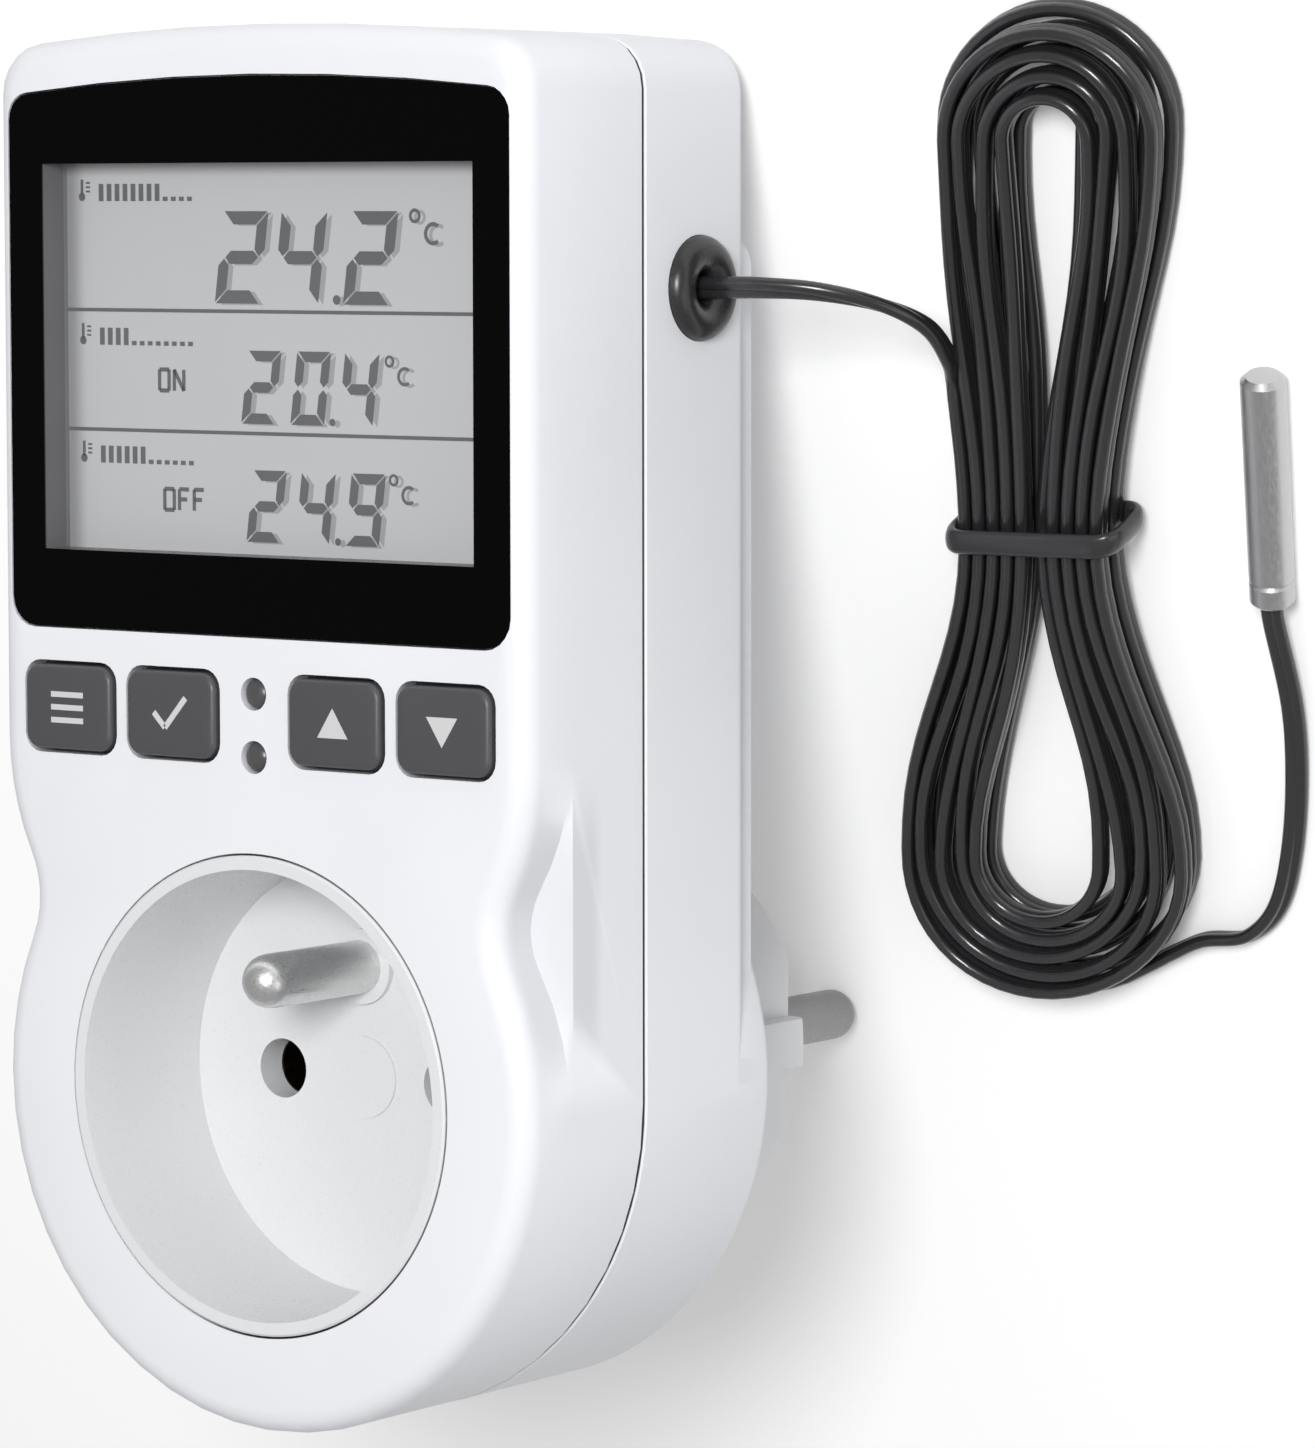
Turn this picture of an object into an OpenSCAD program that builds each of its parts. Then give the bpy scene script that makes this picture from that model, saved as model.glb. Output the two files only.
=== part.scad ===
// Plug-in temperature controller with a socket, a display and a sensor on a flat cord.
// Millimetres. Each rigid piece is drawn standing: x to the right, y from the front face
// to the rear, z up from the axis that the socket and the plug share. The whole case is
// then laid on its back, leaning on its plug pins and its upper rear edge, beside the cord.

/* [Case] */
// Width of the case
case_w = 60; // [59.6:0.2:62]
// Height of the top edge above the socket axis
case_top = 93.5; // [93:0.5:97]
// Radius of the arched top edge
crown_r = 265; // [200:5:320]
// Radius of the two upper corners
corner_r = 4.5; // [4:0.5:5.5]
// Depth from the front face to the seam
front_d = 16.8; // [16.6:0.2:17.4]
// Depth from the front face to the upper rear face
rear_d = 31.8; // [31.6:0.2:33]
// Height of the raised panel on the rear face
panel_step = 2.8; // [2.4:0.2:3.4]
// Height of the round plug pad above the raised panel
pad_step = 1.4; // [1:0.2:2]
// Thickness of the case walls
wall = 2; // [1.8:0.1:2.2]
// Radius of the rounded front edge
front_round = 2.2; // [1.6:0.2:2.2]
// Radius of the rounded rear edges
rear_round = 1.2; // [0.8:0.2:1.6]
// Depth and half width of the groove at the seam
seam_groove = 0.35; // [0.2:0.05:0.5]

/* [Waist] */
// Radius of the shoulders above the waist
shoulder_r = 24; // [23:0.5:25]
// Height of the shoulders' widest point above the socket axis
shoulder_z = 30.5; // [30:0.5:31]
// Radius of the hollow between the shoulder and the round foot
waist_r = 8; // [6:0.5:10]
// Depth of the ledge behind the waist, at the side
ledge_d = 6.2; // [5.8:0.2:6.6]
// How far the ledge rises for each millimetre towards the middle
ledge_rise = 0.3; // [0.2:0.05:0.35]
// Step between the ledge and the full side
ledge_step = 0.3; // [0.2:0.1:0.5]

/* [Display] */
// Width of the face left at each side of the black display surround
bezel_side = 1.8; // [1.7:0.05:2]
// Height of the surround's lower edge above the socket axis
bezel_low = 40.4; // [40.2:0.1:40.6]
// Height of the surround's upper edge above the socket axis
bezel_high = 89; // [88.6:0.2:89.4]
// Thickness of the surround
bezel_t = 1.6; // [1.4:0.1:1.6]
// Radius of the surround's arched upper edge
bezel_crown = 260; // [200:5:300]
// Radius of the surround's upper corners
bezel_top_r = 2.3; // [2:0.1:2.6]
// Radius of the surround's lower corners
bezel_low_r = 2.6; // [2.2:0.1:3]
// Width of the surround at each side of the visible display
view_side = 3.8; // [3.6:0.1:4.7]
// Height of the visible display
view_h = 34.2; // [33:0.2:34.4]
// Height of the visible display's lower edge above the socket axis
view_low = 47.3; // [46.9:0.1:47.7]
// Depth of the display glass below the front face
glass_d = 3.5; // [3.4:0.1:3.6]
// Thickness of the display glass
glass_t = 1.9; // [1.6:0.1:2]

/* [Keys] */
// Width of the face left beside the outer keys
key_side = 3.55; // [3.45:0.05:3.9]
// Height of each key
key_h = 7.6; // [7.2:0.1:8]
// Gap between the two keys of a pair
key_between = 1.85; // [1.8:0.05:1.95]
// Width of the strip between the pairs, which holds the lamps
lamp_strip = 8.4; // [8:0.1:8.6]
// Height of the keys above the socket axis
key_z = 33.2; // [33:0.1:33.4]
// Radius of the keys' corners
key_corner = 1.5; // [1:0.1:2]
// How far the keys stand out of the face
key_proud = 0.5; // [0.4:0.1:0.7]
// Gap round each key
key_gap = 0.35; // [0.3:0.05:0.4]
// Radius of the two indicator lamps
lamp_r = 1.3; // [1.1:0.1:1.4]
// Distance between the lamps
lamp_pitch = 5.54; // [5.3:0.02:5.8]

/* [Socket] */
// Radius of the socket's outer ring
ring_r = 21.2; // [21:0.1:21.3]
// Radius of the well at its rim
rim_r = 19.96; // [19.8:0.02:20.04]
// Radius of the well at its floor
floor_r = 19.5; // [19.3:0.05:19.6]
// Depth of the well
well_d = 15; // [14.8:0.1:15.2]
// Thickness of the well's floor
floor_t = 3; // [2.6:0.1:3.2]
// Distance of each contact from the axis
contact_x = 9.5; // [9.4:0.05:9.6]
// Radius of the contact holes
hole_r = 2.7; // [2.6:0.05:2.8]
// Height of the earth pin above the axis
earth_z = 10; // [9.8:0.05:10.2]
// Radius of the earth pin
earth_r = 2.4; // [2.3:0.05:2.45]
// How far the earth pin stands out of the front face
earth_out = 0.5; // [0.2:0.1:1]

/* [Plug] */
// Radius of the plug body
plug_r = 18.7; // [18.4:0.1:19]
// Length of the plug body beyond the pad
plug_len = 21.6; // [21:0.2:22.4]
// Distance of the plug's flats from the axis
flat_x = 16.3; // [15.8:0.1:16.8]
// Half width of the rib on each flat
guide_half = 2.2; // [2:0.1:2.6]
// Length of the pins beyond the plug body
pin_len = 19; // [18.5:0.5:19.5]
// Radius of the pins
pin_r = 2.4; // [2.3:0.05:2.4]
// Radius of the plug's end chamfer
plug_chamfer = 0.9; // [0.6:0.1:1.2]

/* [Sensor cord] */
// Width of the flat cord
cord_w = 2.1; // [2:0.05:2.1]
// Thickness of the flat cord
cord_t = 1.25; // [1.1:0.05:1.25]
// Radius of the grommet in the side wall
grommet_r = 4.6; // [4.4:0.1:5]
// Distance of the grommet's axis from the upper rear face
grommet_back = 6.9; // [6.7:0.1:7.2]
// Height of the grommet above the socket axis
grommet_z = 70.6; // [70:0.1:71]
// Radius of the sensor sleeve
probe_r = 2; // [1.8:0.1:2.2]
// Length of the sensor sleeve
probe_len = 22.6; // [20:0.2:25]

/* [Hidden] */
$fn = 48;

// Shared values
over = 0.4;            // overrun of every cut
least = 0.001;         // least distance that counts as off the middle line
half_w = case_w / 2;
bezel_w = case_w - 2 * bezel_side;
view_w = bezel_w - 2 * view_side;
key_w = (half_w - key_side - key_between - lamp_strip / 2) / 2;
key_inner = (lamp_strip + key_w) / 2;
key_pitch = key_w + key_between;
grommet_y = rear_d - grommet_back;
full_turn = 360;
quarter = 90;
half_turn = 180;

// Colours
white = [0.93, 0.935, 0.94];
black = [0.03, 0.03, 0.032];
dark_grey = [0.3, 0.3, 0.31];
key_grey = [0.42, 0.42, 0.43];
glass_grey = [0.66, 0.68, 0.67];
metal = [0.75, 0.75, 0.76];
brass = [0.8, 0.65, 0.3];
board_green = [0.1, 0.35, 0.2];
cord_grey = [0.09, 0.09, 0.095];

// Depths behind the front face
panel_d = rear_d + panel_step;
pad_d = panel_d + pad_step;
plug_end = pad_d + plug_len;
pin_tip = plug_end + pin_len;

// Waist: the round foot, a hollow and the shoulder meet in tangent arcs
shoulder_x = half_w - shoulder_r;
shoulder_c = [shoulder_x, shoulder_z];
apart = norm(shoulder_c);
foot_reach = half_w + waist_r;
shoulder_reach = shoulder_r + waist_r;
along_share = (foot_reach ^ 2 - shoulder_reach ^ 2 + apart ^ 2) / (2 * apart ^ 2);
off_share = sqrt(foot_reach ^ 2 / apart ^ 2 - along_share ^ 2);
waist_c = along_share * shoulder_c + off_share * [shoulder_z, -shoulder_x];
foot_angle = atan2(waist_c[1], waist_c[0]);
neck_angle = atan2(shoulder_z - waist_c[1], shoulder_x - waist_c[0]);

// Number of edges along each arc
foot_steps = 12;
hip_steps = 4;
waist_steps = 6;
shoulder_steps = 5;
corner_steps = 5;
crown_steps = 3;
round_steps = 4;

// Seats behind the front face
clear = 0.15;          // clearance round pieces that drop into a seat
rest_gap = 0.2;        // play of a key between the wall and its switch
bezel_ledge = 1.8;     // width of the ledge behind the surround
bezel_collar = 1.4;    // depth of the surround's collar behind the ledge
bezel_sunk = 0.1;      // how far the surround lies below the face
frame_d = bezel_t + bezel_collar;
frame_side = 3;        // widths of the frame round the opening
frame_foot = 3.4;
frame_head = 1.7;
frame_low = view_low - frame_foot;
frame_high = view_low + view_h + frame_head;
frame_half = view_w / 2 + frame_side;
glass_over = 1.1;      // how far the glass runs past the visible display
glass_play = 0.3;      // room between the glass and its frame
backlight_t = 1.2;
strip_t = 1.4;
board_y = 9;           // front of the control board
board_t = 1.6;
board_gap = 2;         // space between the two boards
board_side = 1.6;      // gaps between the boards and the case
board_top = 11;
board_half = half_w - wall - board_side;
board_low = 27;
board_high = case_top - board_top;
power_y = board_y + board_t + board_gap;
parts_y = power_y + board_t;
boss_r = 3.6;
boss_side = 5.4;       // place of the upper screws, from the side and the top
boss_top = 6.5;
boss_low_side = 12;    // place of the lower screws, from the side and the foot
boss_up = [half_w - boss_side, case_top - boss_top];
boss_low = [half_w - boss_low_side, boss_low_side - half_w];
screw_r = 1.5;
screw_clear = 0.2;
screw_head_r = 2.7;
screw_head_t = 1.7;
screw_sunk = 2.5;      // depth of the screw heads' wells
screw_bite = 9;        // length of thread in the front shell
post_r = 1.8;          // posts that carry the boards
post_x = 15.3;

// Keys and their switches
key_travel = 0.5;
flange_w = 0.7;        // how far a key's flange runs past the key
flange_t = 0.8;
flange_y = wall + rest_gap;
stem_r = 2;
switch_y = 5.5;        // front of the switch bodies
switch_w = 6;
plunger_y = 4.1;       // front of the plungers
plunger_r = 1.7;
plunger_gap = 0.1;
plunger_in = 1.1;      // length of plunger inside its switch
key_places = [-key_inner - key_pitch, -key_inner, key_inner, key_inner + key_pitch];

// Lamps
lamp_gap = 0.15;
lamp_drop = 0.6;       // how far the lamps sit below the keys
lamp_z = key_z - lamp_drop;
lamp_flange = 0.35;
lamp_base_y = 6.4;

// Socket
ring_t = 0.9;
ring_proud = 0.2;
collar_r = 20.8;       // outside of the collar behind its ring
seat_d = 7;            // depth of the seat that holds the collar
seat_wall = 1.8;
collar_end = well_d + floor_t;
earth_base_r = 3.4;
earth_base_t = 0.6;
mark_r = 3.7;          // round moulded boss on the floor, left bare
mark_t = 0.25;
carrier_t = 6.5;
carrier_r = 19;
carrier_end = collar_end + carrier_t;
contact_in = 2.6;
contact_out = 3.3;
contact_len = 15.4;
contact_gap = 0.1;     // play between the floor and the contacts
contact_y = collar_end + contact_gap;
contact_end = contact_y + contact_len;
contact_rim_r = 4.2;
contact_rim_t = 0.8;
slot_w = 0.7;
tab_half = 1.5;
tab_y = 26.3;
tab_d = 3;
tab_up = 6;            // height of the solder tab above the contact's axis

// Plug
flange_r = 21;
plug_flange_t = 2.3;
cup_r = 14.4;
cup_end = 4;           // depth of the hollow behind the plug, from the pad
plug_gap = 0.15;
pin_gap = 0.05;
pin_neck_r = 2.1;      // pins inside the plug body
pin_shoulder = 0.15;   // where the full pin starts, outside the plug's end
pin_ring = 0.3;        // recess round each pin in the plug's end: width and depth
pin_ring_d = 0.5;
pin_head_r = 4;
pin_head_t = 1.8;
sleeve_in = 2.55;
sleeve_out = 3.2;
earth_hole_r = 2.7;
earth_hole_t = 3;
sleeve_len = 12;
clip_half = 3;
clip_t = 1;
clip_in = 17.1;        // distance of the side earth clips from the axis
clip_len = 15;
plate_t = 0.8;
strap_t = 1.2;
prop_r = 2;            // props between the plug and the contact carrier
prop_at = 13;
wire_r = 0.9;

// The case lies leaning back on its pin tips and its upper rear edge
pin_round = pin_r;
tip_c = [pin_tip - pin_round, 0];
edge_c = [rear_d - rear_round, crown_edge(rear_round)];
lean = atan2(tip_c[0] - edge_c[0], edge_c[1])
     + asin((pin_round - rear_round) / norm(tip_c - edge_c));
rest_z = cos(lean) * tip_c[0] + pin_round;
front_c = [front_round, case_top - front_round];
far_t = cos(lean) * front_c[1] - sin(lean) * front_c[0] + front_round;
foot_c = [pad_d - rear_round, rear_round - half_w];
near_t = cos(lean) * foot_c[1] - sin(lean) * foot_c[0] - rear_round;
rest_y = -(far_t + near_t) / 2;

// Height of the top edge in the middle, drawn in by a radius
function crown_edge(r) = case_top - r;

// Points and outlines

// Points along an arc
function arc(c, r, from, to, steps) =
  [for (i = [0:steps]) c + r * [cos(from + (to - from) * i / steps),
                                sin(from + (to - from) * i / steps)]];

// A list without its first point
function tail(points) = [for (i = [1:len(points) - 1]) points[i]];

// Right half of an arched top: the corner arc and the crown up to the middle
function crown(half, top, big, small, inset) =
  let (cx = half - small, cz = sqrt((big - small) ^ 2 - cx ^ 2), a = atan2(cz, cx))
  concat(arc([cx, top - big + cz], small - inset, 0, a, corner_steps),
         tail(arc([0, top - big], big - inset, a, quarter, crown_steps)));

// Full outline from its right half, listed upwards
function both(half) = concat(half,
  [for (i = [len(half) - 1:-1:0]) if (half[i][0] > least) [-half[i][0], half[i][1]]]);

// Outline of the front face, drawn in by an inset
function face(inset) = both(concat(
  arc([0, 0], half_w - inset, -quarter, 0, foot_steps),
  tail(arc([0, 0], half_w - inset, 0, foot_angle, hip_steps)),
  tail(arc(waist_c, waist_r + inset, foot_angle + half_turn, neck_angle, waist_steps)),
  tail(arc(shoulder_c, shoulder_r - inset, neck_angle - half_turn, 0, shoulder_steps)),
  crown(half_w, case_top, crown_r, corner_r, inset)));

// True where a point lies beside the waist
function by_waist(p) = p[1] > least && p[1] < shoulder_z - least;

// The same outline with its waist filled out to the full width
function filled(points, inset) =
  [for (p = points) by_waist(p) ? [sign(p[0]) * (half_w - inset), p[1]] : p];

// Outline of the part above the socket axis
function upper(inset) = both(concat([[half_w - inset, 0]],
  crown(half_w, case_top, crown_r, corner_r, inset)));

// Outline of the display surround
function screen(inset) = both(concat(
  arc([bezel_w / 2 - bezel_low_r, bezel_low + bezel_low_r], bezel_low_r - inset,
      -quarter, 0, corner_steps),
  crown(bezel_w / 2, bezel_high, bezel_crown, bezel_top_r, inset)));

// Rectangle with rounded corners about the middle
function round_rect(w, h, r) = let (x = w / 2 - r, z = h / 2 - r) concat(
  arc([x, z], r, 0, quarter, corner_steps),
  arc([-x, z], r, quarter, half_turn, corner_steps),
  arc([-x, -z], r, half_turn, half_turn + quarter, corner_steps),
  arc([x, -z], r, half_turn + quarter, full_turn, corner_steps));

// An outline placed at one depth
function ring_at(points, y) = [for (p = points) [p[0], y, p[1]]];

// Solids

// Extrusion between two depths of what is drawn in x and z
module slab(from, to) {
  translate([0, to, 0]) rotate([quarter, 0, 0]) linear_extrude(to - from) children();
}

// Turned solid about an axis that runs to the rear, drawn as radius and depth
module turned(at = [0, 0]) {
  translate([at[0], 0, at[1]]) rotate([-quarter, 0, 0]) rotate_extrude() children();
}

// Round bar between two depths
module bar(at, r, from, to) {
  translate([at[0], from, at[1]]) rotate([-quarter, 0, 0]) cylinder(r = r, h = to - from);
}

// Block between two depths, centred on a place
module block(at, size, from, to) {
  slab(from, to) translate(at) square(size, center = true);
}

// Solid through outlines with equal numbers of points, from front to rear
module loft(rings) {
  n = len(rings[0]);
  last = (len(rings) - 1) * n;
  sides = [for (k = [0:len(rings) - 2], i = [0:n - 1]) let (j = (i + 1) % n, a = k * n)
    each [[a + i, a + j, a + n + j], [a + i, a + n + j, a + n + i]]];
  polyhedron([for (ring = rings) each ring],
    concat([[for (i = [n - 1:-1:0]) i]], sides, [[for (i = [0:n - 1]) last + i]]));
}

// Lays the standing case on its back, on the table
module resting() {
  translate([0, rest_y, rest_z]) rotate([-quarter - lean, 0, 0]) children();
}

// Front shell

// Depth of the ledge behind the waist, at a distance from the middle
function ledge_y(p) = by_waist(p) ? ledge_d - ledge_rise * (half_w - abs(p[0])) : ledge_d;

module front_form() {
  edge = [for (j = [0:round_steps]) let (a = quarter * j / round_steps)
    ring_at(face(front_round * (1 - sin(a))), front_round * (1 - cos(a)))];
  ledge = [for (p = face(0)) [p[0], ledge_y(p), p[1]]];
  difference() {
    loft(concat([ring_at(face(front_round), -over)], edge, [ledge,
      ring_at(filled(face(0), 0), ledge_d + ledge_step),
      ring_at(filled(face(0), 0), front_d - seam_groove),
      ring_at(filled(face(seam_groove), seam_groove), front_d)]));
    block([0, 0], [case_top * 3, case_top * 3], -over * 2, 0);
  }
}

// The four screw places
module at_screws() {
  for (side = [-1, 1]) {
    for (place = [boss_up, boss_low]) {
      translate([side * place[0], 0, place[1]]) children();
    }
  }
}

module front_shell() {
  color(white) resting() difference() {
    union() {
      difference() {
        front_form();
        slab(wall, front_d + over) polygon(face(wall));
      }
      difference() {
        slab(wall - clear, frame_d) polygon(screen(-clear - bezel_ledge / 2));
        slab(0, frame_d + over) polygon(screen(bezel_ledge));
      }
      bar([0, 0], collar_r + clear + seat_wall, wall - clear, seat_d);
      at_screws() bar([0, 0], boss_r, frame_d, front_d);
      for (side = [-1, 1]) {
        bar([side * post_x, bezel_low + clear * 3], post_r, wall - clear, board_y);
      }
    }
    slab(-over, bezel_t) polygon(screen(-clear));
    slab(0, frame_d) polygon(screen(bezel_ledge));
    turned() polygon([[0, -over], [ring_r + clear, -over], [ring_r + clear, ring_t],
                      [collar_r + clear, ring_t], [collar_r + clear, seat_d + over],
                      [0, seat_d + over]]);
    for (x = key_places) {
      slab(-over, wall + over) translate([x, key_z])
        polygon(round_rect(key_w + 2 * key_gap, key_h + 2 * key_gap, key_corner + key_gap));
    }
    for (side = [-1, 1]) {
      bar([0, lamp_z + side * lamp_pitch / 2], lamp_r + lamp_gap, -over, wall + over);
    }
    at_screws() bar([0, 0], screw_r, front_d - screw_bite, front_d + over);
  }
}

// Rear shell

module rear_form() {
  edge = [for (j = [0:round_steps]) let (a = quarter * j / round_steps)
    ring_at(upper(rear_round * (1 - cos(a))), rear_d - rear_round * (1 - sin(a)))];
  loft(concat([ring_at(upper(seam_groove), front_d),
    ring_at(upper(0), front_d + seam_groove)], edge));
  turned() polygon(concat(
    [[0, front_d], [half_w - seam_groove, front_d], [half_w, front_d + seam_groove]],
    arc([half_w - rear_round, pad_d - rear_round], rear_round, 0, quarter, round_steps),
    [[0, pad_d]]));
  slab(rear_d - wall, panel_d) panel_outline(0);
}

panel_side = 1.5;      // how far the panel stays inside the case
panel_drop = 18.5;
panel_half = half_w - panel_side;
panel_high = case_top - panel_drop;
panel_corner = 2.5;

// Raised panel on the rear face
module panel_outline(inset) {
  polygon(both(concat([[panel_half - inset, 0]],
    arc([panel_half - panel_corner, panel_high - panel_corner], panel_corner - inset,
        0, quarter, corner_steps))));
}

module rear_shell() {
  color(white) resting() difference() {
    union() {
      difference() {
        rear_form();
        slab(front_d - over, rear_d - wall) polygon(upper(wall));
        bar([0, 0], half_w - wall, front_d - over, pad_d - wall);
        slab(rear_d - wall - over, panel_d - wall) panel_outline(wall);
      }
      for (side = [-1, 1]) {
        bar([side * boss_up[0], boss_up[1]], boss_r, front_d, rear_d - over);
        bar([side * boss_low[0], boss_low[1]], boss_r, front_d, pad_d - rear_round);
        bar([side * (board_half - post_r), board_low + 2 * post_r], post_r,
            parts_y, panel_d - wall + over);
      }
    }
    bar([0, 0], plug_r + plug_gap, pad_d - wall - over, pad_d + over);
    at_screws() bar([0, 0], screw_r + screw_clear, front_d - over, pad_d + over);
    for (side = [-1, 1]) {
      bar([side * boss_up[0], boss_up[1]], screw_head_r + screw_clear,
          rear_d - screw_sunk, rear_d + over);
      bar([side * boss_low[0], boss_low[1]], screw_head_r + screw_clear,
          pad_d - screw_sunk, pad_d + over);
    }
    translate([half_w - wall - over, grommet_y, grommet_z]) rotate([0, quarter, 0])
      cylinder(r = grommet_r + grommet_gap, h = wall + 2 * over);
  }
}

// Display

// What is drawn in x and z for the visible display, grown by a margin
module view_area(grow) {
  translate([-view_w / 2 - grow, view_low - grow]) square([view_w + 2 * grow, view_h + 2 * grow]);
}

module bezel() {
  color(black) resting() difference() {
    union() {
      slab(bezel_sunk, bezel_t) polygon(screen(0));
      slab(bezel_t, frame_d) polygon(screen(bezel_ledge + clear));
    }
    slab(0, frame_d + over) view_area(0);
  }
}

module lcd_frame() {
  color(dark_grey) resting() difference() {
    slab(frame_d, board_y) translate([-frame_half, frame_low])
      square([2 * frame_half, frame_high - frame_low]);
    slab(0, glass_d) view_area(0);
    slab(glass_d, board_y + over) view_area(glass_over);
  }
}

module lcd_glass() {
  color(glass_grey) resting()
    slab(glass_d, glass_d + glass_t) view_area(glass_over - glass_play);
}

backlight_y = glass_d + glass_t;

module lcd_backlight() {
  color([0.9, 0.9, 0.88]) resting() slab(backlight_y, backlight_y + backlight_t)
    translate([-view_w / 2, view_low + strip_t])
      square([view_w, view_h - 2 * strip_t]);
}

module contact_strips() {
  color([0.9, 0.6, 0.65]) resting() for (z = [view_low, view_low + view_h - strip_t]) {
    slab(backlight_y, board_y) translate([-view_w / 2, z - (z > view_low ? 0 : clear)])
      square([view_w, strip_t]);
  }
}

// Boards

module control_board() {
  color(board_green) resting() slab(board_y, board_y + board_t)
    translate([-board_half, board_low]) square([2 * board_half, board_high - board_low]);
}

chip_w = 10;
chip_t = 1.4;

module microcontroller() {
  color(black) resting()
    block([-chip_w, (board_low + board_high) / 2], [chip_w, chip_w],
          board_y + board_t, board_y + board_t + chip_t);
}

module key_switches() {
  color(black) resting() for (x = key_places) {
    difference() {
      block([x, key_z], [switch_w, switch_w], switch_y, board_y);
      bar([x, key_z], plunger_r + plunger_gap, switch_y - over,
          switch_y + plunger_in + key_travel + plunger_gap);
    }
  }
}

// One key: the cap in the face, its flange behind the wall and its stem
module key(x) {
  color(key_grey) resting() union() {
    edge = [for (j = [0:round_steps]) let (a = quarter * j / round_steps)
      ring_at([for (p = round_rect(key_w - 2 * key_proud * (1 - sin(a)),
                                   key_h - 2 * key_proud * (1 - sin(a)),
                                   key_corner - key_proud * (1 - sin(a)))) p + [x, key_z]],
              -key_proud * cos(a))];
    loft(concat(edge, [ring_at([for (p = round_rect(key_w, key_h, key_corner)) p + [x, key_z]],
                               flange_y)]));
    block([x, key_z], [key_w + 2 * flange_w, key_h + 2 * flange_w],
          flange_y, flange_y + flange_t);
    bar([x, key_z], stem_r, flange_y + flange_t, plunger_y);
  }
}

module mode_key() key(key_places[0]);
module set_key() key(key_places[1]);
module up_key() key(key_places[2]);
module down_key() key(key_places[3]);

module plunger(x) {
  color([0.75, 0.2, 0.15]) resting()
    bar([x, key_z], plunger_r, plunger_y, switch_y + plunger_in);
}

module mode_plunger() plunger(key_places[0]);
module set_plunger() plunger(key_places[1]);
module up_plunger() plunger(key_places[2]);
module down_plunger() plunger(key_places[3]);

// Indicator lamp: domed lens, flange and base on the board
module lamp(side) {
  dome = lamp_r / 2;
  color([0.5, 0.5, 0.48]) resting() turned([0, lamp_z + side * lamp_pitch / 2])
    polygon(concat(
      [for (j = [0:round_steps]) let (a = quarter * j / round_steps)
        [lamp_r * sin(a), dome - dome * cos(a)]],
      [[lamp_r, lamp_base_y], [lamp_r + lamp_flange, lamp_base_y],
       [lamp_r + lamp_flange, board_y], [0, board_y]]));
}

module power_lamp() lamp(1);
module output_lamp() lamp(-1);

header_size = [20, 5];

module board_header() {
  color(black) resting()
    block([0, board_high - header_size[1]], header_size, board_y + board_t, power_y);
}

module power_board() {
  color(board_green) resting() slab(power_y, parts_y)
    translate([-board_half, board_low]) square([2 * board_half, board_high - board_low]);
}

// Parts on the rear of the power board: footprint, height and place. The upper row is the relay,
// the large capacitor and the sensor's plug, the lower one the safety capacitor, the varistor and
// the fuse. Shares of what a row leaves free lie before its parts.
room = rear_d - wall - parts_y;
upper_shares = [0.135, 0.225, 0.34];
lower_shares = [0.145, 0.15, 0.375];
relay_size = [19, 15.5];
relay_gap = 0.6;
relay_h = room - relay_gap;
bulk_r = 5;
bulk_gap = 2.6;
bulk_h = room - bulk_gap;
plug_size = [6, 7];
upper_z = 66;
upper_free = 2 * board_half - relay_size[0] - 2 * bulk_r - plug_size[0];
relay_at = [upper_free * upper_shares[0] + relay_size[0] / 2 - board_half, upper_z];
bulk_at = [relay_at[0] + relay_size[0] / 2 + upper_free * upper_shares[1] + bulk_r, upper_z];
plug_at = [bulk_at[0] + bulk_r + upper_free * upper_shares[2] + plug_size[0] / 2, grommet_z];
rectifier_size = [7, 5.5];
rectifier_h = 6;
rectifier_top = 15.3;
rectifier_at = [plug_at[0] + plug_size[0] / 2 - rectifier_size[0] / 2,
                case_top - rectifier_top];
filter_r = 3.2;
filter_gap = 4.6;
filter_h = room - filter_gap;
filter_side = 3.8;
filter_top = 16.5;
filter_at = [rectifier_at[0] - rectifier_size[0] / 2 - filter_side - filter_r,
             case_top - filter_top];
safety_size = [18, 8.5];
safety_gap = 1.6;
safety_h = room - safety_gap;
varistor_t = 4;
lead_h = 1;
varistor_r = (room - safety_gap - lead_h) / 2;
fuse_r = 2.6;
fuse_len = 14;
fuse_cap = 3;
lower_z = 46;
lower_free = 2 * board_half - safety_size[0] - 2 * varistor_r - 2 * fuse_r;
safety_at = [lower_free * lower_shares[0] + safety_size[0] / 2 - board_half, lower_z];
varistor_at = [safety_at[0] + safety_size[0] / 2 + lower_free * lower_shares[1] + varistor_r,
               lower_z];
fuse_low = 10.5;
fuse_at = [varistor_at[0] + varistor_r + lower_free * lower_shares[2] + fuse_r,
           board_low + fuse_low];
inductor_r = 4.5;
inductor_h = 9;
inductor_side = 2.9;
inductor_at = [board_half - inductor_side - inductor_r, 56];
plug_over = 2;         // how far the sensor socket runs past the lead's axis
can_round = 0.6;

module relay() {
  color([0.15, 0.3, 0.55]) resting()
    slab(parts_y, parts_y + relay_h) translate(relay_at)
      polygon(round_rect(relay_size[0], relay_size[1], can_round));
}

module safety_capacitor() {
  color([0.85, 0.7, 0.25]) resting()
    slab(parts_y, parts_y + safety_h) translate(safety_at)
      polygon(round_rect(safety_size[0], safety_size[1], can_round));
}

// Round can with a rounded end
module can(at, r, h) {
  turned(at) polygon([[0, parts_y], [r, parts_y], [r, parts_y + h - can_round],
                      [r - can_round, parts_y + h], [0, parts_y + h]]);
}

module bulk_capacitor() {
  color([0.12, 0.12, 0.2]) resting() can(bulk_at, bulk_r, bulk_h);
}

module filter_capacitor() {
  color([0.12, 0.12, 0.2]) resting() can(filter_at, filter_r, filter_h);
}

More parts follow.
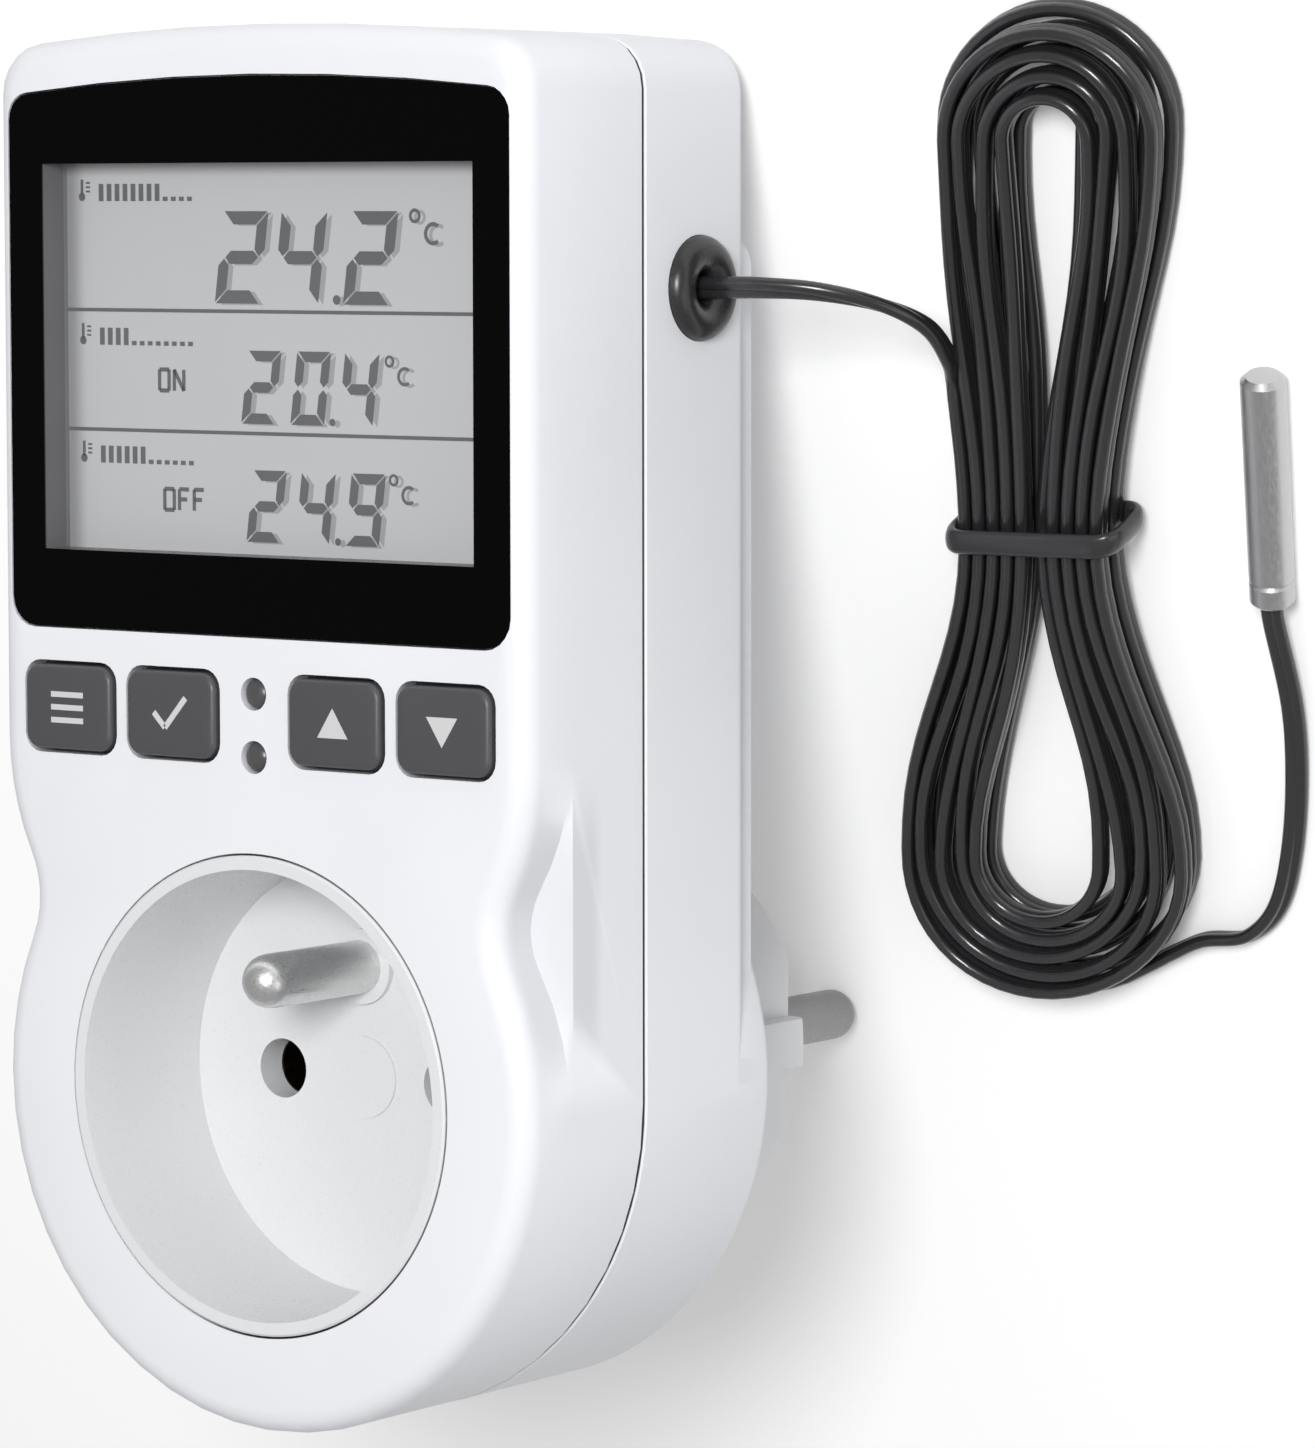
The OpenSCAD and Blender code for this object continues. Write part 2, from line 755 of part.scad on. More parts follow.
module varistor() {
  color([0.1, 0.25, 0.6]) resting() union() {
    translate([varistor_at[0], parts_y + lead_h + varistor_r, varistor_at[1] - varistor_t / 2])
      cylinder(r = varistor_r, h = varistor_t);
    block(varistor_at, [varistor_r, varistor_t / 2], parts_y, parts_y + lead_h + varistor_t / 2);
  }
}

module inductor() {
  color([0.35, 0.2, 0.1]) resting() can(inductor_at, inductor_r, inductor_h);
}

module fuse() {
  color([0.8, 0.82, 0.8]) resting() union() {
    translate([fuse_at[0], parts_y + lead_h + fuse_r, fuse_at[1] - fuse_len / 2])
      cylinder(r = fuse_r, h = fuse_len);
    for (side = [-1, 1]) {
      block(fuse_at + [0, side * (fuse_len - fuse_cap) / 2], [2 * fuse_r, fuse_cap],
            parts_y, parts_y + lead_h + fuse_r);
    }
  }
}

module rectifier() {
  color(black) resting() block(rectifier_at, rectifier_size, parts_y, parts_y + rectifier_h);
}

module sensor_socket() {
  color(white) resting() block(plug_at, plug_size, parts_y, grommet_y + plug_over);
}

// Socket

module socket_collar() {
  color(white) resting() turned() polygon([
    [rim_r, -ring_proud], [ring_r - ring_proud, -ring_proud], [ring_r, 0], [ring_r, ring_t],
    [collar_r, ring_t], [collar_r, collar_end], [floor_r, collar_end], [floor_r, well_d]]);
}

module socket_floor() {
  color(white) resting() difference() {
    union() {
      bar([0, 0], floor_r, well_d, collar_end);
      bar([0, 0], mark_r, well_d - mark_t, well_d + over);
      bar([0, earth_z], earth_base_r, well_d - earth_base_t, well_d + over);
    }
    for (side = [-1, 1]) {
      bar([side * contact_x, 0], hole_r, well_d - over, collar_end + over);
    }
    bar([0, earth_z], earth_r, well_d - 2 * over - earth_base_t, collar_end + over);
  }
}

module earth_pin() {
  color(metal) resting() turned([0, earth_z]) polygon(concat(
    [for (j = [0:2 * round_steps]) let (a = quarter * j / round_steps / 2)
      [earth_r * sin(a), earth_r - earth_out - earth_r * cos(a)]],
    [[earth_r, carrier_end], [0, carrier_end]]));
}

// Sprung tube that grips a pin, with its rim and its solder tab
module contact(side) {
  color(brass) resting() difference() {
    union() {
      bar([side * contact_x, 0], contact_out, contact_y, contact_end);
      bar([side * contact_x, 0], contact_rim_r, carrier_end, carrier_end + contact_rim_t);
      slab(tab_y, tab_y + tab_d) translate([side * contact_x - tab_half, contact_in])
        square([2 * tab_half, tab_up - contact_in]);
    }
    bar([side * contact_x, 0], contact_in, contact_y - over, contact_end + over);
    block([side * contact_x, -contact_out], [slot_w, 2 * contact_out],
          carrier_end + contact_rim_t, contact_end + over);
  }
}

module line_contact() contact(-1);
module neutral_contact() contact(1);

module contact_carrier() {
  color([0.2, 0.2, 0.21]) resting() difference() {
    bar([0, 0], carrier_r, collar_end, carrier_end);
    for (side = [-1, 1]) {
      bar([side * contact_x, 0], contact_out, collar_end - over, carrier_end + over);
    }
    bar([0, earth_z], earth_r, collar_end - over, carrier_end + over);
  }
}

cup_d = pad_d + cup_end;      // floor of the hollow behind the plug
head_y = cup_d - pin_head_t;      // front of the pin heads
plate_y = cup_d - pin_head_t;     // front of the earth bracket's plate

module earth_strap() {
  color(metal) resting()
    block([0, earth_z], [2 * clip_half, strap_t], carrier_end, plate_y);
}

// Plug

// Cross-section of the plug body: round with two flats and their guide ribs
module plug_section() {
  intersection() {
    circle(plug_r);
    union() {
      square([2 * flat_x, 2 * plug_r], center = true);
      square([2 * plug_r, 2 * guide_half], center = true);
    }
  }
}

module plug_body() {
  color(white) resting() difference() {
    union() {
      bar([0, 0], flange_r, pad_d - wall - plug_flange_t, pad_d - wall);
      bar([0, 0], plug_r, pad_d - wall, pad_d + plug_chamfer);
      intersection() {
        slab(pad_d, plug_end) plug_section();
        turned() polygon([[0, pad_d], [plug_r, pad_d], [plug_r, plug_end - plug_chamfer],
                          [plug_r - plug_chamfer, plug_end], [0, plug_end]]);
      }
      for (sx = [-1, 1], sz = [-1, 1]) {
        bar([sx * prop_at, sz * prop_at], prop_r, carrier_end,
            pad_d - wall - plug_flange_t + over);
      }
    }
    bar([0, 0], cup_r, pad_d - wall - plug_flange_t - over, cup_d);
    for (side = [-1, 1]) {
      bar([side * contact_x, 0], pin_neck_r, cup_d - over, plug_end + over);
      bar([side * contact_x, 0], pin_r + pin_ring, plug_end - pin_ring_d, plug_end + over);
      slab(plate_y, plug_end + over)
        translate([-clip_half, side > 0 ? clip_in : -clip_in - wall])
          square([2 * clip_half, wall]);
    }
    slab(pad_d - wall - plug_flange_t - over, plate_y + plate_t)
      translate([-clip_half, -clip_in - clip_t])
        square([2 * clip_half, 2 * (clip_in + clip_t)]);
    bar([0, earth_z], earth_hole_r, plug_end - earth_hole_t, plug_end + over);
    bar([0, earth_z], sleeve_out, plug_end - earth_hole_t - sleeve_len,
        plug_end - earth_hole_t);
  }
}

// Pin with a round tip and a flat head inside the plug
module plug_pin(side) {
  color(metal) resting() turned([side * contact_x, 0]) polygon(concat(
    [[0, head_y], [pin_head_r, head_y], [pin_head_r, cup_d], [pin_neck_r, cup_d],
     [pin_neck_r, plug_end + pin_shoulder], [pin_r, plug_end + pin_shoulder]],
    [for (j = [0:2 * round_steps]) let (a = quarter * j / round_steps / 2)
      [pin_round * cos(a), pin_tip - pin_round + pin_round * sin(a)]]));
}

module line_pin() plug_pin(1);
module neutral_pin() plug_pin(-1);

module earth_sleeve() {
  color(brass) resting() difference() {
    bar([0, earth_z], sleeve_out, plug_end - earth_hole_t - sleeve_len,
        plug_end - earth_hole_t);
    bar([0, earth_z], sleeve_in, plug_end - earth_hole_t - sleeve_len + wall,
        plug_end - earth_hole_t + over);
  }
}

// Earth bracket: a plate across the plug's hollow and a clip along each side
module earth_bracket() {
  color(metal) resting() union() {
    slab(plate_y, plate_y + plate_t) translate([-clip_half, -clip_in - clip_t])
      square([2 * clip_half, 2 * (clip_in + clip_t)]);
    for (side = [-1, 1]) {
      slab(plate_y, pad_d + clip_len)
        translate([-clip_half, side * (clip_in + clip_t / 2) - clip_t / 2])
          square([2 * clip_half, clip_t]);
    }
  }
}

// Cords and wires

// Cross-sections as shares of half the width and half the thickness
round_shares = [[1, 0.4], [0.6, 1], [-0.6, 1], [-1, 0.4], [-1, -0.4], [-0.6, -1],
                [0.6, -1], [1, -0.4]];
flat_shares = [[1, 0], [0.6, 1], [-0.6, 1], [-1, 0], [-0.6, -1], [0.6, -1]];

function unit(v) = v / norm(v);

// Direction of a path at one of its points
function heading(path, i) =
  unit(path[min(i + 1, len(path) - 1)] - path[max(i - 1, 0)]);

// Tube along a path: its width lies across the reference direction, turned by a roll
module tube(path, w, t, shares, ref, rolls) {
  rings = [for (i = [0:len(path) - 1]) let (d = heading(path, i), s = unit(cross(ref, d)),
      u = cross(d, s), a = rolls[min(i, len(rolls) - 1)],
      across = cos(a) * s + sin(a) * u, through = cos(a) * u - sin(a) * s)
    [for (q = shares) path[i] + across * (q[0] * w / 2) + through * (q[1] * t / 2)]];
  n = len(shares);
  last = (len(path) - 1) * n;
  sides = [for (k = [0:len(path) - 2], i = [0:n - 1]) let (j = (i + 1) % n, a = k * n)
    each [[a + i, a + n + j, a + j], [a + i, a + n + i, a + n + j]]];
  polyhedron([for (ring = rings) each ring],
    concat([for (i = [1:n - 2]) [0, i, i + 1]], sides,
           [for (i = [1:n - 2]) [last, last + i + 1, last + i]]));
}

// Smooth path through hand-placed points
function smooth(points, steps) = concat(
  [for (i = [0:len(points) - 2], k = [0:steps - 1]) let (t = k / steps, a = points[i],
      b = points[i + 1], va = (b - points[max(i - 1, 0)]) / (i > 0 ? 2 : 1),
      vb = (points[min(i + 2, len(points) - 1)] - a) / (i < len(points) - 2 ? 2 : 1))
    a * (2 * t ^ 3 - 3 * t ^ 2 + 1) + va * (t ^ 3 - 2 * t ^ 2 + t)
      + b * (3 * t ^ 2 - 2 * t ^ 3) + vb * (t ^ 3 - t ^ 2)],
  [points[len(points) - 1]]);

// Rolls that turn steadily from one angle to another along a path
function twist(path, from, to) = [for (i = [0:len(path) - 1])
  from + (to - from) * (1 - cos(half_turn * i / (len(path) - 1))) / 2];

wire_low = board_low + wire_r * 2;
wire_in = prop_at / 2;
wire_cup = contact_out + wire_r * 5;
wire_run = 5;          // straight run behind the carrier
wire_back = carrier_end + wire_run;
tab_mid = tab_y + tab_d / 2;
wire_shift = prop_at + wire_r;

// Wire from a pin's head to the power board
module supply_wire(side) {
  x = side * (contact_x + pin_head_r - wire_r - pin_gap * 4);
  path = [[x, head_y, 0], [x, head_y - wire_r, 0], [x, head_y - 2 * wire_r, wire_r],
    [side * wire_in, head_y - 2.5 * wire_r, wire_cup],
    [side * wire_in, wire_back, wire_cup + wire_r], [side * wire_in, wire_back, wire_low - wire_r * 3],
    [side * wire_in, wire_back - wire_r * 4, wire_low], [side * wire_in, parts_y + wire_r, wire_low],
    [side * wire_in, parts_y, wire_low]];
  color(side > 0 ? [0.45, 0.25, 0.12] : [0.15, 0.3, 0.65]) resting()
    tube(path, 2 * wire_r, 2 * wire_r, round_shares, [1, 0, 0], [0]);
}

// Wire from the power board to a socket contact
module outlet_wire(side) {
  path = [[side * wire_shift, parts_y, wire_low], [side * wire_shift, parts_y + wire_r, wire_low],
    [side * wire_shift, tab_mid - wire_r * 2, wire_low],
    [side * (wire_shift - wire_r), tab_mid, wire_low - wire_r * 2],
    [side * contact_x, tab_mid, carrier_r], [side * contact_x, tab_mid, tab_up + wire_r],
    [side * contact_x, tab_mid, tab_up]];
  color(side < 0 ? [0.45, 0.25, 0.12] : [0.15, 0.3, 0.65]) resting()
    tube(path, 2 * wire_r, 2 * wire_r, round_shares, [1, 0, 0], [0]);
}

module line_wire() supply_wire(1);
module neutral_wire() supply_wire(-1);
module load_wire() outlet_wire(-1);
module return_wire() outlet_wire(1);

module sensor_core() {
  color(cord_grey) resting() translate([plug_at[0] + plug_size[0] / 2, grommet_y, grommet_z])
    rotate([0, quarter, 0]) cylinder(r = cord_t / 2, h = grommet_in - plug_at[0] - plug_size[0] / 2);
}

// Screws from the rear, their heads in wells
module screw(at, d) {
  turned(at) polygon([[0, front_d - screw_bite], [screw_r, front_d - screw_bite],
    [screw_r, d - screw_sunk], [screw_head_r, d - screw_sunk],
    [screw_head_r, d - screw_sunk + screw_head_t], [0, d - screw_sunk + screw_head_t]]);
}

module case_screws() {
  color(metal) resting() for (side = [-1, 1]) {
    screw([side * boss_up[0], boss_up[1]], rear_d);
    screw([side * boss_low[0], boss_low[1]], pad_d);
  }
}

// Sensor cord

grommet_lip = 0.3;
grommet_gap = 0.05;    // play of the grommet in its hole
grommet_rim = 0.25;    // how far its inner flange runs past the hole
grommet_flange = 1.6;
grommet_bore = 1.35;
grommet_in = half_w - wall - grommet_flange;

module grommet() {
  color(black) resting() translate([half_w, grommet_y, grommet_z]) rotate([0, quarter, 0])
    rotate_extrude() polygon([
      [grommet_bore, -wall - grommet_flange],
      [grommet_r + grommet_rim, -wall - grommet_flange],
      [grommet_r + grommet_rim, -wall], [grommet_r, -wall], [grommet_r, 0],
      [grommet_r - grommet_lip, grommet_lip], [grommet_r - grommet_lip * 3, grommet_lip],
      [grommet_bore + grommet_lip * 3, -wall / 2], [grommet_bore, -wall]]);
}

// Hank: each loop is two runs between round ends, drawn in at the waist. The winding goes
// inwards on the upper layer, climbs down along one run and comes outwards on the lower.
hank_c = [50.3, 2.6];              // middle of the waist, on the table
hank_axis = [0.267, 0.964];        // direction of the runs
head_v = 40;                       // middle of the upper ends, along the axis
head_r = 12;                       // radius of the outermost upper end
foot_v = 36.5;                     // middle of the lower ends, along the axis
foot_r = 15.5;                     // radius of the outermost lower end
neck_half = 9.5;                   // half width of the outermost loop at the waist
hank_pitch = 2.05;                 // distance between neighbouring loops
layer_up = 2.75;                   // height between the two layers
loop_steps = 24;                   // rings in each loop
first_turn = 0.0915;               // where the winding starts, in loops
back_turn = 4.625;                 // where it turns back, in loops
hank_steps = 224;
climb_turn = 0.125;                // half the length of the climb, in loops
tie_t = 1.2;
tie_w = 3;
tie_gap = 0.15;
lift_reach = 32;                   // how far from the tie the runs are lifted

// Half width of the outermost loop at a place along the axis
function spread(v) = let (share = v > 0 ? v / head_v : -v / foot_v,
    wide = v > 0 ? head_r : foot_r)
  neck_half + (wide - neck_half) * (1 - cos(half_turn * share)) / 2;

// How far a position in the winding is drawn in from the outermost loop
function drawn_in(f) = hank_pitch * (f < back_turn ? f - first_turn : 2 * back_turn - first_turn - f);

// Height of the winding, in layers
function layer_at(f) = f < back_turn - climb_turn ? 1
  : f > back_turn + climb_turn ? 0
  : (1 - sin(quarter * (f - back_turn) / climb_turn)) / 2;

// Place across and along the hank at a position in the winding
function loop_place(f) = let (part = f - floor(f), q = floor(4 * part), t = 4 * part - q,
    inward = drawn_in(f), down = head_v - (head_v + foot_v) * t,
    up = (head_v + foot_v) * t - foot_v)
  q == 0 ? [inward - spread(down), down]
  : q == 1 ? [0, -foot_v] + (foot_r - inward) * [-cos(half_turn * t), -sin(half_turn * t)]
  : q == 2 ? [spread(up) - inward, up]
  : [0, head_v] + (head_r - inward) * [cos(half_turn * t), sin(half_turn * t)];

function hank_point(f) = let (p = loop_place(f),
    lift = abs(p[1]) < lift_reach
      ? (tie_t + tie_gap) * (1 + cos(half_turn * p[1] / lift_reach)) / 2 : 0)
  [hank_c[0] + p[0] + hank_axis[0] * p[1], hank_c[1] + hank_axis[1] * p[1],
   cord_w / 2 + layer_up * layer_at(f) + lift];

hank_line = [for (k = [0:hank_steps]) hank_point(first_turn + k / loop_steps)];
hank_from = unit(hank_line[1] - hank_line[0]);
hank_to = unit(hank_line[hank_steps] - hank_line[hank_steps - 1]);
hank_first = hank_line[0] - hank_from * cord_w;
hank_last = hank_line[hank_steps] + hank_to * cord_w;
hank_path = concat([hank_first], hank_line, [hank_last]);

// Gap between two points of the winding: sideways or upwards, whichever is more
function gap_of(a, b) = max(norm([a[0] - b[0], a[1] - b[1]]) - cord_t, abs(a[2] - b[2]) - cord_w);
function mid(i) = (hank_line[i] + hank_line[i + 1]) / 2;
hank_gaps = [for (i = [0:hank_steps - 1 - loop_steps / 2], j = [i + loop_steps / 2:hank_steps - 1])
  min(gap_of(hank_line[i], hank_line[j]), gap_of(hank_line[i], mid(j)), gap_of(mid(i), mid(j)))];

module lead_hank() {
  echo("least gap of the hank to itself", min(hank_gaps));
  color(cord_grey) tube(hank_path, cord_w, cord_t, flat_shares, [0, 0, 1], [quarter]);
}

// Route of the cord from the grommet to the hank
lead_exit = [half_w, 32.1, 15.8];
lead_route = [[30.8, 32.1, 15.8], [36, 32, 15.5], [41, 30.8, 13.8], [45, 28.2, 11],
              [46.6, 24.6, 8.2], [45.6, 20.4, 5.8]];
lead_points = concat([[grommet_in, lead_exit[1], lead_exit[2]]], lead_route,
                     [hank_first - hank_from * cord_w, hank_first]);

module sensor_lead() {
  path = smooth(lead_points, 3);
  color(cord_grey) tube(path, cord_w, cord_t, round_shares, [0, 0, 1], twist(path, 0, quarter));
}

// Sensor sleeve: its mouth and a point further along its axis, on the table
probe_mouth = [70.9, -4.9, probe_r];
probe_far = [75.5, 17.2, probe_r];
probe_dir = unit(probe_far - probe_mouth);

// Route of the cord from the hank to the sensor
tail_route = [[54, -41.6, 1.06], [59.5, -40.8, 1.03], [64.2, -37.4, 0.95], [67.3, -31.5, 0.85],
              [69.2, -24, 0.8], [70.1, -16, 1.1]];
tail_points = concat([hank_last, hank_last + hank_to * cord_w], tail_route,
                     [probe_mouth - probe_dir * cord_w, probe_mouth]);

module probe_lead() {
  path = smooth(tail_points, 3);
  color(cord_grey) tube(path, cord_w, cord_t, round_shares, [0, 0, 1], twist(path, quarter, 0));
}

// Band round the waist of the hank
tie_half = neck_half + cord_t / 2 + tie_gap;
tie_high = cord_w + layer_up + 2 * (tie_gap + tie_t);

// Outline of the band at a distance from its middle, slanted as the runs are
function tie_ring(points, d) = [for (p = points)
  [hank_c[0] + p[0] + hank_axis[0] / hank_axis[1] * d, hank_c[1] + d, tie_high / 2 + p[1]]];

module hank_tie() {
  outer = round_rect(2 * (tie_half + tie_t), tie_high, tie_t * 1.8);
  inner = round_rect(2 * tie_half, tie_high - 2 * tie_t, tie_t / 2);
  color(black) difference() {
    loft([tie_ring(outer, -tie_w / 2), tie_ring(outer, tie_w / 2)]);
    loft([tie_ring(inner, -tie_w / 2 - over), tie_ring(inner, tie_w / 2 + over)]);
  }
}

crimp_len = 2;
crimp_in = 0.25;

module probe_sleeve() {
  color(metal) translate(probe_mouth) rotate([0, quarter, atan2(probe_dir[1], probe_dir[0])])
    rotate_extrude() polygon([[0, 0], [probe_r - crimp_in, 0], [probe_r, crimp_in],
      [probe_r, crimp_len], [probe_r - crimp_in, crimp_len + crimp_in],
      [probe_r, crimp_len + 2 * crimp_in], [probe_r, probe_len - 2 * crimp_in],
      [probe_r - 2 * crimp_in, probe_len], [0, probe_len]]);
}

front_shell();
rear_shell();
bezel();
lcd_frame();
lcd_glass();
lcd_backlight();
contact_strips();
control_board();
microcontroller();
key_switches();
mode_key();
set_key();
up_key();
down_key();
mode_plunger();
set_plunger();
up_plunger();
down_plunger();
power_lamp();
output_lamp();
board_header();
power_board();
relay();
safety_capacitor();
bulk_capacitor();
filter_capacitor();
varistor();
inductor();
fuse();
rectifier();
sensor_socket();
sensor_core();
socket_collar();
socket_floor();
earth_pin();
line_contact();
neutral_contact();
contact_carrier();
earth_strap();
plug_body();
line_pin();
neutral_pin();
earth_sleeve();
earth_bracket();
line_wire();
neutral_wire();
load_wire();
return_wire();
case_screws();
grommet();
sensor_lead();
lead_hank();
probe_lead();
hank_tie();
probe_sleeve();
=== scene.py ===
import math

import bmesh
import bpy
from mathutils import Matrix, Vector


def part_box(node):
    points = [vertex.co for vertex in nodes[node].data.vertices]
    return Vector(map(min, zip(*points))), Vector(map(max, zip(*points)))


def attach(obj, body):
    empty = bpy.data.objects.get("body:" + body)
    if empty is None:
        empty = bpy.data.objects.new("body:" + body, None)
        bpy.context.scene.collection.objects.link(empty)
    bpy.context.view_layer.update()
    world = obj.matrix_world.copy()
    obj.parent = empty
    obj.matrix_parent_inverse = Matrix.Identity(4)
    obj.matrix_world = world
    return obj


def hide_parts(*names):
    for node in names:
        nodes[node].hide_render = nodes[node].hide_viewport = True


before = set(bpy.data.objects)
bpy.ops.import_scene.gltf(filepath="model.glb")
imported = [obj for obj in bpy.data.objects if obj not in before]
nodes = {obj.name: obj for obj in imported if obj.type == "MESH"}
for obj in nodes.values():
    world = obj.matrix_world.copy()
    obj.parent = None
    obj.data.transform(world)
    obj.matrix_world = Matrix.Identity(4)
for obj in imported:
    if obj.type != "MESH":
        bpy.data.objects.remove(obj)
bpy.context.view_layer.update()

# Sizes are in millimetres in the product's own directions, which are the CAD source's: x to the
# right, y from the front face to the rear, z up from the axis of socket and plug. MM turns them
# into metres.
# The cord's and the tie's places are in millimetres in the row frame.
MM = 0.001
LEAN = math.radians(25.958329)
REST = Vector((0, -20.4995, 69.1142))
LAID = Matrix.Translation(REST) @ Matrix.Rotation(-math.pi / 2 - LEAN, 4, "X")


def place(x, y, z):
    """A product point in the row frame, in metres."""
    return (LAID @ Vector((x, y, z))) * MM


# Camera

CAMERA_AT = (0.3416968, 0.2252174, 0.3965509)
CAMERA_RIGHT = (0.80347095, -0.26141943, -0.53487784)
CAMERA_UP = (-0.04982907, 0.86575311, -0.49798454)
CAMERA_LENS = 165.927


def make_camera():
    data = bpy.data.cameras.new("camera")
    data.sensor_fit = "HORIZONTAL"
    data.sensor_width = 36
    data.lens = CAMERA_LENS
    data.clip_start = 0.01
    data.clip_end = 10
    cam = bpy.data.objects.new("camera", data)
    right = Vector(CAMERA_RIGHT).normalized()
    up = Vector(CAMERA_UP).normalized()
    turn = Matrix((right, up, right.cross(up))).transposed()
    cam.matrix_world = Matrix.Translation(Vector(CAMERA_AT)) @ turn.to_4x4()
    bpy.context.scene.collection.objects.link(cam)
    bpy.context.scene.camera = cam


make_camera()


# Materials

def new_material(name):
    m = bpy.data.materials.new(name)
    m.use_nodes = True
    m.node_tree.nodes.clear()
    shader = m.node_tree.nodes.new("ShaderNodeBsdfPrincipled")
    out = m.node_tree.nodes.new("ShaderNodeOutputMaterial")
    m.node_tree.links.new(shader.outputs["BSDF"], out.inputs["Surface"])
    return m, m.node_tree, shader


def noise(tree, scale, detail=3.0, stretch=(1, 1, 1)):
    """Noise in the object's own coordinates, in cells per metre; stretch multiplies each axis."""
    coords = tree.nodes.new("ShaderNodeTexCoord")
    mapping = tree.nodes.new("ShaderNodeMapping")
    mapping.inputs["Scale"].default_value = stretch
    tex = tree.nodes.new("ShaderNodeTexNoise")
    tex.inputs["Scale"].default_value = scale
    tex.inputs["Detail"].default_value = detail
    tree.links.new(coords.outputs["Object"], mapping.inputs["Vector"])
    tree.links.new(mapping.outputs["Vector"], tex.inputs["Vector"])
    return tex.outputs["Fac"]


def ramp(tree, value, low, high, start=0.3, end=0.7):
    """Two colours mixed by a value, between start and end."""
    node = tree.nodes.new("ShaderNodeValToRGB")
    node.color_ramp.elements[0].position = start
    node.color_ramp.elements[0].color = (*low, 1)
    node.color_ramp.elements[1].position = end
    node.color_ramp.elements[1].color = (*high, 1)
    tree.links.new(value, node.inputs["Fac"])
    return node.outputs["Color"]


def spread(tree, value, low, high):
    """A value between 0.3 and 0.7 stretched to low and high."""
    node = tree.nodes.new("ShaderNodeMapRange")
    node.inputs["From Min"].default_value = 0.3
    node.inputs["From Max"].default_value = 0.7
    node.inputs["To Min"].default_value = low
    node.inputs["To Max"].default_value = high
    tree.links.new(value, node.inputs["Value"])
    return node.outputs["Result"]


def bump(tree, shader, height, strength, distance):
    node = tree.nodes.new("ShaderNodeBump")
    node.inputs["Strength"].default_value = strength
    node.inputs["Distance"].default_value = distance * MM
    tree.links.new(height, node.inputs["Height"])
    tree.links.new(node.outputs["Normal"], shader.inputs["Normal"])


def product_place(tree):
    """Place in the product's own directions, in millimetres, as x, y and z outputs."""
    coords = tree.nodes.new("ShaderNodeTexCoord")
    mapping = tree.nodes.new("ShaderNodeMapping")
    stand = Matrix.Rotation(math.pi / 2 + LEAN, 4, "X")
    mapping.inputs["Scale"].default_value = (1 / MM, 1 / MM, 1 / MM)
    mapping.inputs["Rotation"].default_value = (math.pi / 2 + LEAN, 0, 0)
    mapping.inputs["Location"].default_value = -(stand @ REST)
    parts = tree.nodes.new("ShaderNodeSeparateXYZ")
    tree.links.new(coords.outputs["Object"], mapping.inputs["Vector"])
    tree.links.new(mapping.outputs["Vector"], parts.inputs["Vector"])
    return parts.outputs["X"], parts.outputs["Y"], parts.outputs["Z"]


def sum_up(tree, operation, first, second):
    """A Math node; each side is a socket or a number."""
    node = tree.nodes.new("ShaderNodeMath")
    node.operation = operation
    for socket, value in zip(node.inputs, (first, second)):
        if isinstance(value, (int, float)):
            socket.default_value = value
        else:
            tree.links.new(value, socket)
    return node.outputs["Value"]


def near(tree, value, middle, half, soft):
    """1 within half of middle, and 0 from soft further on."""
    apart = sum_up(tree, "ABSOLUTE", sum_up(tree, "SUBTRACT", value, middle), 0)
    node = tree.nodes.new("ShaderNodeMapRange")
    node.interpolation_type = "SMOOTHSTEP"
    node.inputs["From Min"].default_value = half
    node.inputs["From Max"].default_value = half + soft
    node.inputs["To Min"].default_value = 1
    node.inputs["To Max"].default_value = 0
    tree.links.new(apart, node.inputs["Value"])
    return node.outputs["Result"]


def blend_colour(tree, share, first, second):
    """Two colours mixed; each is a socket or a colour."""
    node = tree.nodes.new("ShaderNodeMix")
    node.data_type = "RGBA"
    tree.links.new(share, node.inputs["Factor"])
    for socket, value in zip((node.inputs[6], node.inputs[7]), (first, second)):
        if isinstance(value, tuple):
            socket.default_value = (*value, 1)
        else:
            tree.links.new(value, socket)
    return node.outputs[2]


def moulded(name, colour, rough, cells=5000, depth=0.02, vary=0.025, specular=0.5, strength=0.25,
            marking=None):
    """Moulded plastic or rubber: a fine spark-eroded grain with a faint change of tone."""
    m, tree, shader = new_material(name)
    tone = noise(tree, 60, 2)
    darker = [c * (1 - vary) for c in colour]
    base = ramp(tree, tone, darker, colour)
    if marking:
        base = marking(tree, base)
    tree.links.new(base, shader.inputs["Base Color"])
    grain = noise(tree, cells, 2)
    tree.links.new(spread(tree, grain, rough * 0.88, rough * 1.12), shader.inputs["Roughness"])
    shader.inputs["Specular IOR Level"].default_value = specular
    bump(tree, shader, grain, strength, depth)
    return m


def metal(name, colour, rough, stretch=(1, 1, 1), cells=1500, vary=0.12, strength=0.15,
          marking=None):
    """Plated or drawn metal with fine marks along one direction."""
    m, tree, shader = new_material(name)
    marks = noise(tree, cells, 3, stretch)
    darker = [c * (1 - vary) for c in colour]
    base = ramp(tree, marks, darker, colour)
    if marking:
        base = marking(tree, base)
    tree.links.new(base, shader.inputs["Base Color"])
    tree.links.new(spread(tree, marks, rough * 0.7, rough * 1.3), shader.inputs["Roughness"])
    shader.inputs["Metallic"].default_value = 1
    bump(tree, shader, marks, strength, 0.01)
    return m


def clear_plastic(name, colour, rough, share):
    m, tree, shader = new_material(name)
    tone = noise(tree, 900, 2)
    darker = [c * 0.85 for c in colour]
    tree.links.new(ramp(tree, tone, darker, colour), shader.inputs["Base Color"])
    tree.links.new(spread(tree, tone, rough * 0.8, rough * 1.2), shader.inputs["Roughness"])
    shader.inputs["Transmission Weight"].default_value = share
    shader.inputs["IOR"].default_value = 1.49
    return m


